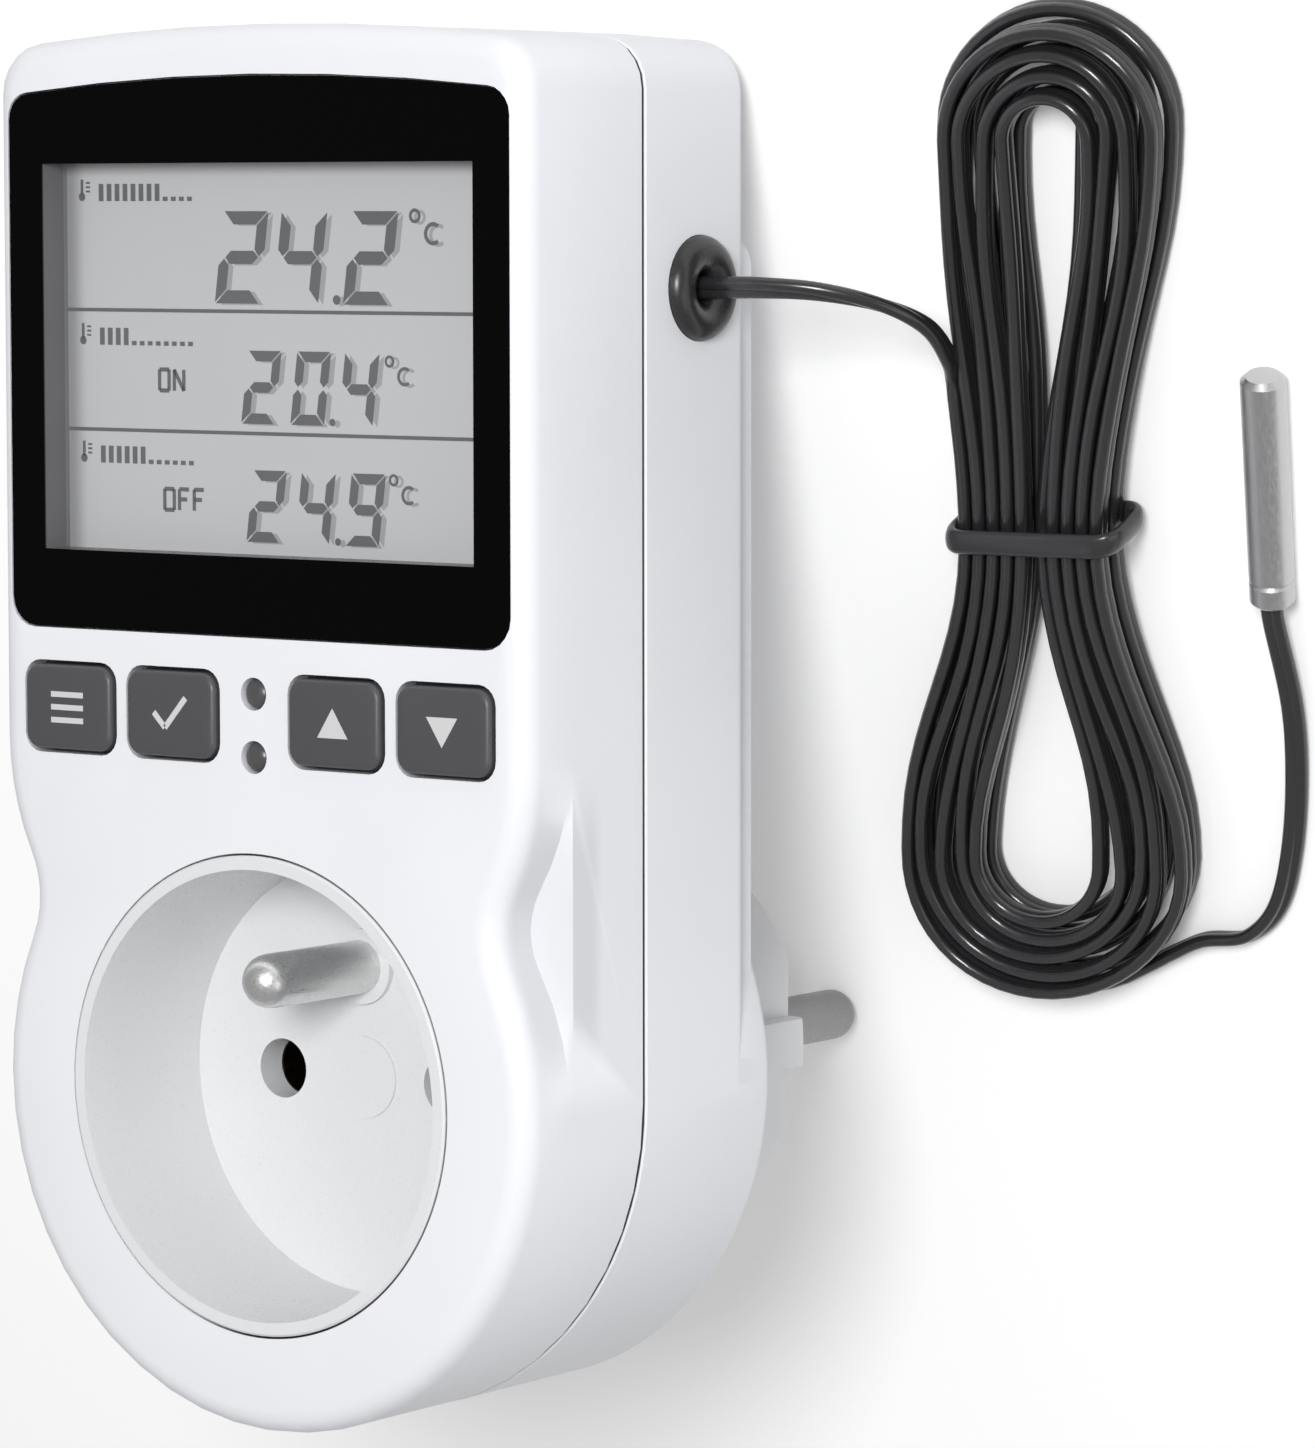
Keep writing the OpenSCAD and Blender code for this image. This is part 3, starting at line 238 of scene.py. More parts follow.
# Where a marking lies along a direction: its middle, its half width and how far it fades.
SEAM_Y = (16.8, 0.14, 0.08)
LEDGE_X = (30, 4, 1)
LEDGE_Y = (6, 3, 2)
LEDGE_Z = (15.9, 6, 8)
RING_R = 21.2
RING_GAP = (RING_R, 0.16, 0.06)
RING_Y = (0, 2, 1)
RING_SIDE = (RING_R, RING_R, RING_R / 2)
GLASS_Y = 3.5
WALL_Y = (GLASS_Y, GLASS_Y - 0.45, 0.3)
PINS_Y = (65, 32.5, 1)
VIEW_EDGE = (-24.4, 0.2, 2.2)
# Painted shade: a greyer white on the ledges beside the waist.
LEDGE_SHADE_GREY = (0.68, 0.686, 0.715)
# Painted shade: a near black in the seam and in the gap round the ring.
GAP_SHADE_DARK = (0.03, 0.03, 0.032)
WALL_GREY = (0.16, 0.16, 0.168)
# Painted shade: a darker nickel on the plug's pins behind the case.
PINS_SHADE_NICKEL = (0.27, 0.27, 0.275)
# Painted shadow of the deep wall on the display's left edge.
EDGE_SHADE = (0.27, 0.272, 0.28)


def painted_case_shade(tree, base):
    """Painted shade on the ledges beside the waist, and painted shade in the seam and in the gap
    round the ring.
    """
    x, y, z = product_place(tree)
    # Painted shade on the ledges beside the waist.
    ledge = sum_up(tree, "MULTIPLY", near(tree, sum_up(tree, "ABSOLUTE", x, 0), *LEDGE_X),
                   near(tree, y, *LEDGE_Y))
    ledge = sum_up(tree, "MULTIPLY", ledge, near(tree, z, *LEDGE_Z))
    base = blend_colour(tree, ledge, base, LEDGE_SHADE_GREY)
    # Painted shade in the seam between the shells.
    seam = near(tree, y, *SEAM_Y)
    away = sum_up(tree, "SQRT", sum_up(tree, "ADD", sum_up(tree, "MULTIPLY", x, x),
                                       sum_up(tree, "MULTIPLY", z, z)), 0)
    # Painted shadow in the gap round the ring, mostly on its right side.
    gap = sum_up(tree, "MULTIPLY", near(tree, away, *RING_GAP), near(tree, y, *RING_Y))
    gap = sum_up(tree, "MULTIPLY", gap, near(tree, x, *RING_SIDE))
    return blend_colour(tree, sum_up(tree, "MAXIMUM", seam, gap), base, GAP_SHADE_DARK)


def grey_wall(tree, base):
    """The surround is black on its face, and its opening's wall is grey."""
    y = product_place(tree)[1]
    return blend_colour(tree, near(tree, y, *WALL_Y), base, WALL_GREY)


def shaded_rear_pins(tree, base):
    """The plug's pins, behind the case, are painted darker than the earth pin in the well: a
    painted shade.
    """
    y = product_place(tree)[1]
    return blend_colour(tree, near(tree, y, *PINS_Y), base, PINS_SHADE_NICKEL)


def left_shade(tree, base):
    """The display darkens towards its left edge: a painted shadow of the deep wall beside it."""
    x = product_place(tree)[0]
    return blend_colour(tree, near(tree, x, *VIEW_EDGE), base, EDGE_SHADE)


WHITE = (0.81, 0.818, 0.852)
FINISHES = {
    "case_white": moulded("case_white", WHITE, 0.46, specular=0.3, marking=painted_case_shade),
    # The socket is painted greyer than the case: a painted shade of the well it lines.
    "socket_white": moulded("socket_white", (0.74, 0.745, 0.757), 0.3, cells=4000),
    # The plug is painted whiter than the case: a painted light on it where the case shades it.
    "plug_white": moulded("plug_white", (0.86, 0.865, 0.88), 0.42),
    "bezel_black": moulded("bezel_black", (0.0015, 0.0015, 0.0016), 0.3, cells=2500, strength=0.04,
                           specular=0.04, marking=grey_wall),
    "frame_grey": moulded("frame_grey", (0.20, 0.20, 0.21), 0.5),
    "display_glass": moulded("display_glass", (0.50, 0.505, 0.515), 0.34, cells=9000, vary=0.03,
                             strength=0.02, marking=left_shade),
    "backlight_white": moulded("backlight_white", (0.75, 0.76, 0.78), 0.5),
    "strip_pink": moulded("strip_pink", (0.62, 0.30, 0.32), 0.6, cells=3000, vary=0.3),
    "board_green": moulded("board_green", (0.02, 0.13, 0.05), 0.35, cells=1200, vary=0.25),
    "chip_black": moulded("chip_black", (0.018, 0.018, 0.02), 0.45, cells=7000),
    "switch_black": moulded("switch_black", (0.025, 0.025, 0.027), 0.4, cells=6000),
    "key_grey": moulded("key_grey", (0.070, 0.069, 0.074), 0.42, cells=4000, vary=0.08),
    "plunger_red": moulded("plunger_red", (0.45, 0.03, 0.025), 0.4),
    "lamp_clear": clear_plastic("lamp_clear", (0.088, 0.088, 0.092), 0.3, 0.12),
    "relay_blue": moulded("relay_blue", (0.03, 0.12, 0.42), 0.35, vary=0.08),
    "capacitor_yellow": moulded("capacitor_yellow", (0.75, 0.50, 0.05), 0.4, vary=0.08),
    "can_dark": moulded("can_dark", (0.03, 0.03, 0.045), 0.3, vary=0.2),
    "varistor_blue": moulded("varistor_blue", (0.03, 0.10, 0.35), 0.45, vary=0.1),
    "coil_brown": metal("coil_brown", (0.50, 0.22, 0.10), 0.35, (1, 1, 12), 900),
    "fuse_glass": clear_plastic("fuse_glass", (0.80, 0.82, 0.80), 0.08, 0.6),
    # The contacts are painted near black: a painted shade of the holes they sit in.
    "contact_brass": metal("contact_brass", (0.07, 0.055, 0.032), 0.4),
    "pin_nickel": metal("pin_nickel", (0.72, 0.72, 0.715), 0.34, (1, 1, 1), 5000, vary=0.02,
                        strength=0.015, marking=shaded_rear_pins),
    "carrier_dark": moulded("carrier_dark", (0.06, 0.06, 0.065), 0.5),
    "strap_steel": metal("strap_steel", (0.55, 0.55, 0.54), 0.3, (8, 1, 1), 900),
    "wire_brown": moulded("wire_brown", (0.16, 0.055, 0.02), 0.4),
    "wire_blue": moulded("wire_blue", (0.02, 0.08, 0.40), 0.4),
    "screw_steel": metal("screw_steel", (0.50, 0.50, 0.49), 0.3),
    "grommet_black": moulded("grommet_black", (0.02, 0.02, 0.0215), 0.3, cells=3500, strength=0.15),
    "cord_dark": moulded("cord_dark", (0.024, 0.024, 0.026), 0.23, cells=2600, vary=0.25,
                         strength=0.12, specular=0.7),
    "tie_black": moulded("tie_black", (0.03, 0.03, 0.032), 0.24, cells=3000, strength=0.15),
    "probe_steel": metal("probe_steel", (0.56, 0.56, 0.565), 0.4, (10, 1, 10), 900, vary=0.05,
                         strength=0.05),
}
DIGIT = moulded("display_segment", (0.135, 0.137, 0.142), 0.35, cells=900, vary=0.12, strength=0.03)
# Painted shadows that the digits cast on the display's back.
DIGIT_SHADE = moulded("display_shade", (0.33, 0.333, 0.342), 0.35, cells=900, vary=0.04,
                      strength=0.03)
KEY_PRINT = moulded("key_print", (0.62, 0.62, 0.63), 0.45, cells=3000)


SHARP_FROM = 32            # degrees
MERGE_WITHIN = 0.000002    # metres


def smooth_group():
    """Geometry nodes that join the faces of a CAD node and smooth all but its sharp edges."""
    group = bpy.data.node_groups.new("smooth", "GeometryNodeTree")
    group.interface.new_socket("Geometry", in_out="INPUT", socket_type="NodeSocketGeometry")
    group.interface.new_socket("Geometry", in_out="OUTPUT", socket_type="NodeSocketGeometry")
    start = group.nodes.new("NodeGroupInput")
    end = group.nodes.new("NodeGroupOutput")
    bare = group.nodes.new("GeometryNodeRemoveAttribute")
    bare.inputs["Name"].default_value = "custom_normal"
    merge = group.nodes.new("GeometryNodeMergeByDistance")
    merge.inputs["Distance"].default_value = MERGE_WITHIN
    faces = group.nodes.new("GeometryNodeSetShadeSmooth")
    faces.domain = "FACE"
    faces.inputs["Shade Smooth"].default_value = True
    angle = group.nodes.new("GeometryNodeInputMeshEdgeAngle")
    soft = group.nodes.new("FunctionNodeCompare")
    soft.data_type = "FLOAT"
    soft.operation = "LESS_THAN"
    soft.inputs["B"].default_value = math.radians(SHARP_FROM)
    edges = group.nodes.new("GeometryNodeSetShadeSmooth")
    edges.domain = "EDGE"
    group.links.new(start.outputs["Geometry"], bare.inputs["Geometry"])
    group.links.new(bare.outputs["Geometry"], merge.inputs["Geometry"])
    group.links.new(merge.outputs["Geometry"], faces.inputs["Geometry"])
    group.links.new(faces.outputs["Geometry"], edges.inputs["Geometry"])
    group.links.new(angle.outputs["Unsigned Angle"], soft.inputs["A"])
    group.links.new(soft.outputs["Result"], edges.inputs["Shade Smooth"])
    group.links.new(edges.outputs["Geometry"], end.inputs["Geometry"])
    return group


SMOOTH = smooth_group()


def dress_nodes():
    """Every carried-over CAD node gets the finish of its material slot and smooth round faces."""
    for obj in nodes.values():
        slot = obj.material_slots[0].material.name.split(".")[0]
        for holder in obj.material_slots:
            holder.material = FINISHES[slot]
        shading = obj.modifiers.new("shading", "NODES")
        shading.node_group = SMOOTH


dress_nodes()


# Mesh helpers

def add_object(name, mesh, material, body="case", smooth=None):
    """Links a mesh as a piece; edges of more than smooth degrees stay sharp."""
    obj = bpy.data.objects.new(name, mesh)
    bpy.context.scene.collection.objects.link(obj)
    mesh.materials.append(material)
    if smooth is not None:
        mesh.shade_smooth()
        mesh.set_sharp_from_angle(angle=math.radians(smooth))
    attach(obj, body)
    return obj


def prisms(name, outlines, front, back, material, body="case"):
    """Flat shapes drawn in x and z, from one product depth to another, as one piece."""
    bm = bmesh.new()
    for outline in outlines:
        fore = [bm.verts.new(place(x, front, z)) for x, z in outline]
        rear = [bm.verts.new(place(x, back, z)) for x, z in outline]
        bm.faces.new(fore)
        bm.faces.new(list(reversed(rear)))
        for i in range(len(outline)):
            j = (i + 1) % len(outline)
            bm.faces.new((fore[j], fore[i], rear[i], rear[j]))
    bmesh.ops.recalc_face_normals(bm, faces=bm.faces)
    mesh = bpy.data.meshes.new(name)
    bm.to_mesh(mesh)
    bm.free()
    return add_object(name, mesh, material, body)


def moved(outline, dx, dz):
    return [(x + dx, z + dz) for x, z in outline]


def disc(x, z, r, sides=20):
    turns = [2 * math.pi * i / sides for i in range(sides)]
    return [(x + r * math.cos(a), z + r * math.sin(a)) for a in turns]


def bar_between(a, b, width):
    """A straight stroke between two points."""
    ax, az = a
    bx, bz = b
    length = math.hypot(bx - ax, bz - az)
    nx = -(bz - az) / length * width / 2
    nz = (bx - ax) / length * width / 2
    return [(ax + nx, az + nz), (ax - nx, az - nz), (bx - nx, bz - nz), (bx + nx, bz + nz)]


def stroke(points, width):
    """Straight strokes from each point to the next."""
    return [bar_between(a, b, width) for a, b in zip(points, points[1:])]


def ring_arc(x, z, r, width, start, end, steps=16):
    """A stroke along an arc, in degrees, as one outline for each short piece."""
    angles = [math.radians(start + (end - start) * i / steps) for i in range(steps + 1)]
    inner = [(x + (r - width / 2) * math.cos(a), z + (r - width / 2) * math.sin(a)) for a in angles]
    outer = [(x + (r + width / 2) * math.cos(a), z + (r + width / 2) * math.sin(a)) for a in angles]
    return [[outer[i], outer[i + 1], inner[i + 1], inner[i]] for i in range(steps)]


# Cord

# HEAD and FOOT are the hank's upper and lower ends, and NECK its waist, where the tie is. Turns are
# counted in loops; the winding goes inwards up to BACK_TURN and comes out again below.
CORD_W = 2.1
CORD_T = 1.25
CORE_R = CORD_T / 2
HANK_AT = (50.3, 2.6)
HANK_AXIS = (0.267, 0.964)
HEAD_V = 39.1
HEAD_R = 12
FOOT_V = 36.5
FOOT_R = 15.5
NECK_HALF = 9.5
HANK_PITCH = 2.05
LAYER_UP = 2.75
FIRST_TURN = 0.0915
BACK_TURN = 4.625
CLIMB_TURN = 0.125
HANK_TURNS = 224 / 24
LOOP_STEPS = 96
PATH_STEPS = 8
CORE_STEPS = 4
TIE_T = 1.2
TIE_W = 2.4
TIE_GAP = 0.15
TIE_STEPS = 6
TIE_SIDES = 16
TIE_SQUARE = 0.85          # 1 is a round edge, less is squarer
LIFT_REACH = 32
WAVE = 0.34
WAVE_REACH = 6.5
WAVE_DRIFT = 2.4
TIGHT_FROM = 1.3
TIGHTEN = 0.27
LEAD_ROUTE = [(26.4, 32.1, 15.8), (30.8, 32.1, 15.8), (36, 32, 15.5), (41, 30.8, 13.8),
              (45.1, 28.1, 11), (47, 24.6, 8.2), (46.6, 20.3, 5.8)]
TAIL_ROUTE = [(54, -41.6, 1.06), (58.8, -40.8, 1.03), (62.7, -37.4, 0.95), (65.6, -31.4, 0.85),
              (67.9, -24, 0.8), (69.6, -16, 1.1)]
PROBE_MOUTH = Vector((70.9, -4.9, 2))
PROBE_DIR = Vector((4.6, 22.1, 0)).normalized()


def half_width(v):
    """Half width of the outermost loop at a place along the hank."""
    share = v / HEAD_V if v > 0 else -v / FOOT_V
    wide = HEAD_R if v > 0 else FOOT_R
    return NECK_HALF + (wide - NECK_HALF) * (1 - math.cos(math.pi * share)) / 2


def layer_at(f):
    """Height of the winding, in layers."""
    if f < BACK_TURN - CLIMB_TURN:
        return 1
    if f > BACK_TURN + CLIMB_TURN:
        return 0
    return (1 - math.sin(math.pi / 2 * (f - BACK_TURN) / CLIMB_TURN)) / 2


def loop_place(f):
    """Place across and along the hank at a position in the winding, in loops."""
    inward = HANK_PITCH * (f - FIRST_TURN if f < BACK_TURN else 2 * BACK_TURN - FIRST_TURN - f)
    quarter = math.floor(4 * (f - math.floor(f)))
    t = 4 * (f - math.floor(f)) - quarter
    run = HEAD_V + FOOT_V
    if quarter == 0:
        down = HEAD_V - run * t
        return inward - half_width(down), down
    if quarter == 1:
        r = FOOT_R - inward
        return -r * math.cos(math.pi * t), -FOOT_V - r * math.sin(math.pi * t)
    if quarter == 2:
        up = run * t - FOOT_V
        return half_width(up) - inward, up
    r = HEAD_R - inward
    return r * math.cos(math.pi * t), HEAD_V + r * math.sin(math.pi * t)


def drawn(across, share):
    """The tie draws the outer runs closer to the middle ones."""
    beyond = max(abs(across) - TIGHT_FROM, 0)
    return math.copysign(abs(across) - beyond * TIGHTEN * share, across)


def hank_point(f):
    across, along = loop_place(f)
    share = (1 + math.cos(math.pi * min(abs(along) / LIFT_REACH, 1))) / 2
    wave = WAVE * (1 - share) * math.sin(along / WAVE_REACH + WAVE_DRIFT * f)
    across = drawn(across, share) + wave
    lift = (TIE_T + TIE_GAP) * share
    return Vector((HANK_AT[0] + across + HANK_AXIS[0] * along, HANK_AT[1] + HANK_AXIS[1] * along,
                   CORD_W / 2 + LAYER_UP * layer_at(f) + lift))


def smooth_path(points, steps):
    """Smooth path through given points."""
    path = []
    last = len(points) - 1
    for i in range(last):
        a, b = points[i], points[i + 1]
        va = (b - points[max(i - 1, 0)]) / (2 if i > 0 else 1)
        vb = (points[min(i + 2, last)] - a) / (2 if i < last - 1 else 1)
        for k in range(steps):
            t = k / steps
            path.append(a * (2 * t ** 3 - 3 * t ** 2 + 1) + va * (t ** 3 - 2 * t ** 2 + t)
                        + b * (3 * t ** 2 - 2 * t ** 3) + vb * (t ** 3 - t ** 2))
    return path + [points[last]]


def cord_route():
    """The whole centreline, and the roll of the cord at each of its points."""
    steps = int(HANK_TURNS * LOOP_STEPS)
    line = [hank_point(FIRST_TURN + HANK_TURNS * k / steps) for k in range(steps + 1)]
    start_dir = (line[1] - line[0]).normalized()
    end_dir = (line[-1] - line[-2]).normalized()
    first = line[0] - start_dir * CORD_W
    last = line[-1] + end_dir * CORD_W
    lead = smooth_path([Vector(p) for p in LEAD_ROUTE] + [first - start_dir * CORD_W, first],
                       PATH_STEPS)
    tail = smooth_path([last, last + end_dir * CORD_W] + [Vector(p) for p in TAIL_ROUTE]
                       + [PROBE_MOUTH - PROBE_DIR * CORD_W, PROBE_MOUTH], PATH_STEPS)
    rise = [(1 - math.cos(math.pi * i / (len(lead) - 1))) / 2 for i in range(len(lead))]
    fall = [(1 + math.cos(math.pi * i / (len(tail) - 1))) / 2 for i in range(len(tail))]
    path = lead + line + tail
    rolls = rise + [1] * len(line) + fall
    return path, [r * math.pi / 2 for r in rolls]


def twin_section():
    """Two round cores side by side, as places across and through the cord."""
    off = CORD_W / 2 - CORE_R
    reach = math.pi - math.acos(off / CORE_R)
    turns = [reach * (i / CORE_STEPS - 1) for i in range(2 * CORE_STEPS + 1)]
    right = [(off + CORE_R * math.cos(a), CORE_R * math.sin(a)) for a in turns]
    left = [(-x, -z) for x, z in right[1:-1]]
    return right + left


def sweep(path, rolls, section):
    """Rings of a section along a path; its width lies flat where the roll is zero."""
    rings = []
    for i, p in enumerate(path):
        ahead = (path[min(i + 1, len(path) - 1)] - path[max(i - 1, 0)]).normalized()
        side = Vector((0, 0, 1)).cross(ahead).normalized()
        over = ahead.cross(side)
        across = math.cos(rolls[i]) * side + math.sin(rolls[i]) * over
        through = math.cos(rolls[i]) * over - math.sin(rolls[i]) * side
        rings.append([(p + across * a + through * b) * MM for a, b in section])
    return rings


def outward_mesh(name, verts, faces):
    """A closed mesh with all its faces turned outwards."""
    mesh = bpy.data.meshes.new(name)
    mesh.from_pydata(verts, [], faces)
    bm = bmesh.new()
    bm.from_mesh(mesh)
    bmesh.ops.recalc_face_normals(bm, faces=bm.faces)
    bm.to_mesh(mesh)
    bm.free()
    return mesh


def tube_mesh(name, rings):
    n = len(rings[0])
    verts = [v for ring in rings for v in ring]
    faces = [list(range(n)), [len(verts) - 1 - i for i in range(n)]]
    for k in range(len(rings) - 1):
        for i in range(n):
            j = (i + 1) % n
            faces.append([k * n + i, (k + 1) * n + i, (k + 1) * n + j, k * n + j])
    return outward_mesh(name, verts, faces)


def make_tie():
    """Moulded band round the waist, with rounded edges, slanted as the runs are."""
    half = drawn(NECK_HALF, 1) + CORD_T / 2 + TIE_GAP
    high = CORD_W + LAYER_UP + 2 * TIE_GAP
    slant = HANK_AXIS[0] / HANK_AXIS[1]
    corner = TIE_T
    rings = []
    centres = [(half - corner, high / 2 - corner), (-half + corner, high / 2 - corner),
               (-half + corner, -high / 2 + corner), (half - corner, -high / 2 + corner)]
    turns = [2 * math.pi * i / TIE_SIDES for i in range(TIE_SIDES)]
    section = [(TIE_T / 2 + TIE_T / 2 * math.cos(a),
                TIE_W / 2 * math.copysign(abs(math.sin(a)) ** TIE_SQUARE, math.sin(a)))
               for a in turns]
    for q, (cx, cz) in enumerate(centres):
        for s in range(TIE_STEPS + 1):
            a = math.pi / 2 * (q + s / TIE_STEPS)
            ring = []
            for out, d in section:
                r = corner + out
                ring.append(Vector((HANK_AT[0] + cx + r * math.cos(a) + slant * d,
                                    HANK_AT[1] + d,
                                    TIE_T + high / 2 + cz + r * math.sin(a))) * MM)
            rings.append(ring)
    n = len(section)
    verts = [v for ring in rings for v in ring]
    faces = []
    for k in range(len(rings)):
        for i in range(n):
            j = (i + 1) % n
            m = (k + 1) % len(rings)
            faces.append([k * n + i, m * n + i, m * n + j, k * n + j])
    mesh = bpy.data.meshes.new("tie")
    mesh.from_pydata(verts, [], faces)
    tie = add_object("tie", mesh, FINISHES["tie_black"], smooth=60)
    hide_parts("hank_tie")
    return tie


# The grommet's middle on the side wall, its radii and its inner flange's thickness. The dome is
# given as radii with their heights over the wall.
GROMMET_AT = (30, 24.9, 70.6)
GROMMET_HOLE = 1.38
GROMMET_FLANGE = 4.85
GROMMET_FLANGE_T = 1.6
GROMMET_R = 4.6
GROMMET_SIDES = 48
GROMMET_DOME = [(GROMMET_R, 0), (4.55, 0.45), (4.25, 0.95), (3.7, 1.32), (3.05, 1.4),
                (2.4, 1.28), (1.85, 0.95), (1.5, 0.4), (GROMMET_HOLE, -0.4)]


def make_grommet():
    """Rubber ring with a domed outer flange and an inner flange behind the wall."""
    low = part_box("grommet")[0]
    inner = low.x / MM - GROMMET_AT[0]
    step = inner + GROMMET_FLANGE_T
    profile = [(GROMMET_HOLE, inner), (GROMMET_FLANGE, inner), (GROMMET_FLANGE, step),
               (GROMMET_R, step)] + GROMMET_DOME
    rings = []
    for r, out in profile:
        ring = []
        for i in range(GROMMET_SIDES):
            a = 2 * math.pi * i / GROMMET_SIDES
            ring.append(place(GROMMET_AT[0] + out, GROMMET_AT[1] + r * math.cos(a),
                              GROMMET_AT[2] + r * math.sin(a)))
        rings.append(ring)
    n = len(rings[0])
    faces = []
    for k in range(len(rings)):
        m = (k + 1) % len(rings)
        faces += [[k * n + i, k * n + (i + 1) % n, m * n + (i + 1) % n, m * n + i]
                  for i in range(n)]
    mesh = outward_mesh("grommet_ring", [v for ring in rings for v in ring], faces)
    ring = add_object("grommet_ring", mesh, FINISHES["grommet_black"], smooth=50)
    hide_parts("grommet")
    return ring


def make_cord():
    path, rolls = cord_route()
    mesh = tube_mesh("sensor_cord", sweep(path, rolls, twin_section()))
    cord = add_object("sensor_cord", mesh, FINISHES["cord_dark"], smooth=50)
    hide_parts("sensor_lead", "lead_hank", "probe_lead")
    tie = make_tie()
    make_grommet()


make_cord()


# Display

PRINT_T = 0.03
RULE_T = 0.027
# The digits' painted shadows are thin, lie at the glass, and are shifted right and down.
SHADE_T = 0.01
SHADE_SHIFT = (0.55, -0.12)
SEGMENT_GAP = 0.12


def segments(width, height, t, gap):
    """The seven segments of a digit, upright, as outlines."""
    mid = height / 2
    return {
        "a": [(gap, height), (width - gap, height), (width - gap - t, height - t),
              (gap + t, height - t)],
        "d": [(gap, 0), (gap + t, t), (width - gap - t, t), (width - gap, 0)],
        "g": [(gap + t / 2, mid), (gap + t, mid + t / 2), (width - gap - t, mid + t / 2),
              (width - gap - t / 2, mid), (width - gap - t, mid - t / 2), (gap + t, mid - t / 2)],
        "f": [(0, height - gap), (t, height - gap - t), (t, mid + gap + t / 2), (t / 2, mid + gap),
              (0, mid + gap + t / 2)],
        "e": [(0, gap), (0, mid - gap - t / 2), (t / 2, mid - gap), (t, mid - gap - t / 2),
              (t, gap + t)],
        "b": [(width, height - gap), (width, mid + gap + t / 2), (width - t / 2, mid + gap),
              (width - t, mid + gap + t / 2), (width - t, height - gap - t)],
        "c": [(width, gap), (width - t, gap + t), (width - t, mid - gap - t / 2),
              (width - t / 2, mid - gap), (width, mid - gap - t / 2)],
    }


SHAPES = {"0": "abcdef", "2": "abged", "4": "fgbc", "9": "abcdfg"}


def number(digits, starts, low, width, height, t, slant):
    """Outlines of a row of digits; each stands at its own place and leans to the right."""
    outlines = []
    for digit, x in zip(digits, starts):
        shapes = segments(width, height, t, SEGMENT_GAP)
        for key in SHAPES[digit]:
            outlines.append([(x + px + slant * pz / height, low + pz) for px, pz in shapes[key]])
    return outlines


def celsius(x, z, size):
    """A small ring and a C, the unit of the rows."""
    ring = ring_arc(x, z + size * 0.96, size * 0.2, size * 0.12, 0, 360, 12)
    letter = ring_arc(x + size * 0.80, z + size * 0.35, size * 0.33, size * 0.14, 50, 310, 14)
    return ring + letter


LETTER_W = 0.6             # of the letter's height, as is the stroke
LETTER_STROKE = 0.2
LETTER_STEP = 1.55         # of the letter's width


def letter_o(x, z, w, h, t):
    return stroke([(x, z), (x, z + h), (x + w, z + h), (x + w, z), (x, z)], t)


def word_on(x, z, h):
    w = h * LETTER_W
    t = h * LETTER_STROKE
    n = x + w * LETTER_STEP
    return letter_o(x, z, w, h, t) + stroke([(n, z), (n, z + h), (n + w, z), (n + w, z + h)], t)


def word_off(x, z, h):
    w = h * LETTER_W
    t = h * LETTER_STROKE
    parts = letter_o(x, z, w, h, t)
    for i in (1, 2):
        f = x + w * LETTER_STEP * i
        parts += stroke([(f, z), (f, z + h), (f + w, z + h)], t)
        parts += stroke([(f, z + h * 0.52), (f + w * 0.8, z + h * 0.52)], t)
    return parts


def thermometer(x, z, h):
    """Generic sign: a bulb with a stem and three ticks."""
    bulb = disc(x, z + h * 0.2, h * 0.2)
    stem = bar_between((x, z + h * 0.3), (x, z + h), h * 0.16)
    ticks = [bar_between((x + h * 0.25, z + h * k), (x + h * 0.5, z + h * k), h * 0.09)
             for k in (0.45, 0.65, 0.85)]
    return [bulb, stem] + ticks


def level_bar(x, z, h, cells, full):
    """Generic level: a row of cells, the first ones filled and the rest as thin lines."""
    parts = []
    for i in range(cells):
        left = x + i * h * 0.62
        right = left + h * 0.36
        tall = h if i < full else h * 0.25
        parts.append([(left, z), (left, z + tall), (right, z + tall), (right, z)])
    return parts


ROWS = [
    {"digits": "242", "starts": (-7.1, -0.45, 7.45), "low": 69.25, "size": (5.1, 8.05), "t": 1.15,
     "slant": 1.1, "dot": (6.75, 69.65, 0.42), "unit": (15.45, 74.5, 2.5), "full": 8},
    {"digits": "204", "starts": (-4.15, 1.45, 6.85), "low": 58.75, "size": (3.8, 6.4), "t": 0.92,
     "slant": 0.85, "dot": (6.2, 59.05, 0.33), "unit": (12.6, 62.4, 2.1), "full": 4},
    {"digits": "249", "starts": (-3.65, 1.9, 7.5), "low": 48.4, "size": (3.8, 6.3), "t": 0.92,
     "slant": 0.85, "dot": (6.75, 48.7, 0.33), "unit": (13.0, 52.2, 2.1), "full": 6},
]
LINES_Z = (68.4, 57.75)
LINE_T = 0.32
LINE_INSET = 0.2
LABEL_X = -23.2
LABEL_Z = (78.2, 65.45, 54.95)
LABEL_H = 1.9
LEVEL_CELLS = 12
WORD_ON_AT = (-13.6, 61.5)
WORD_OFF_AT = (-13.1, 50.95)
WORD_H = 1.85


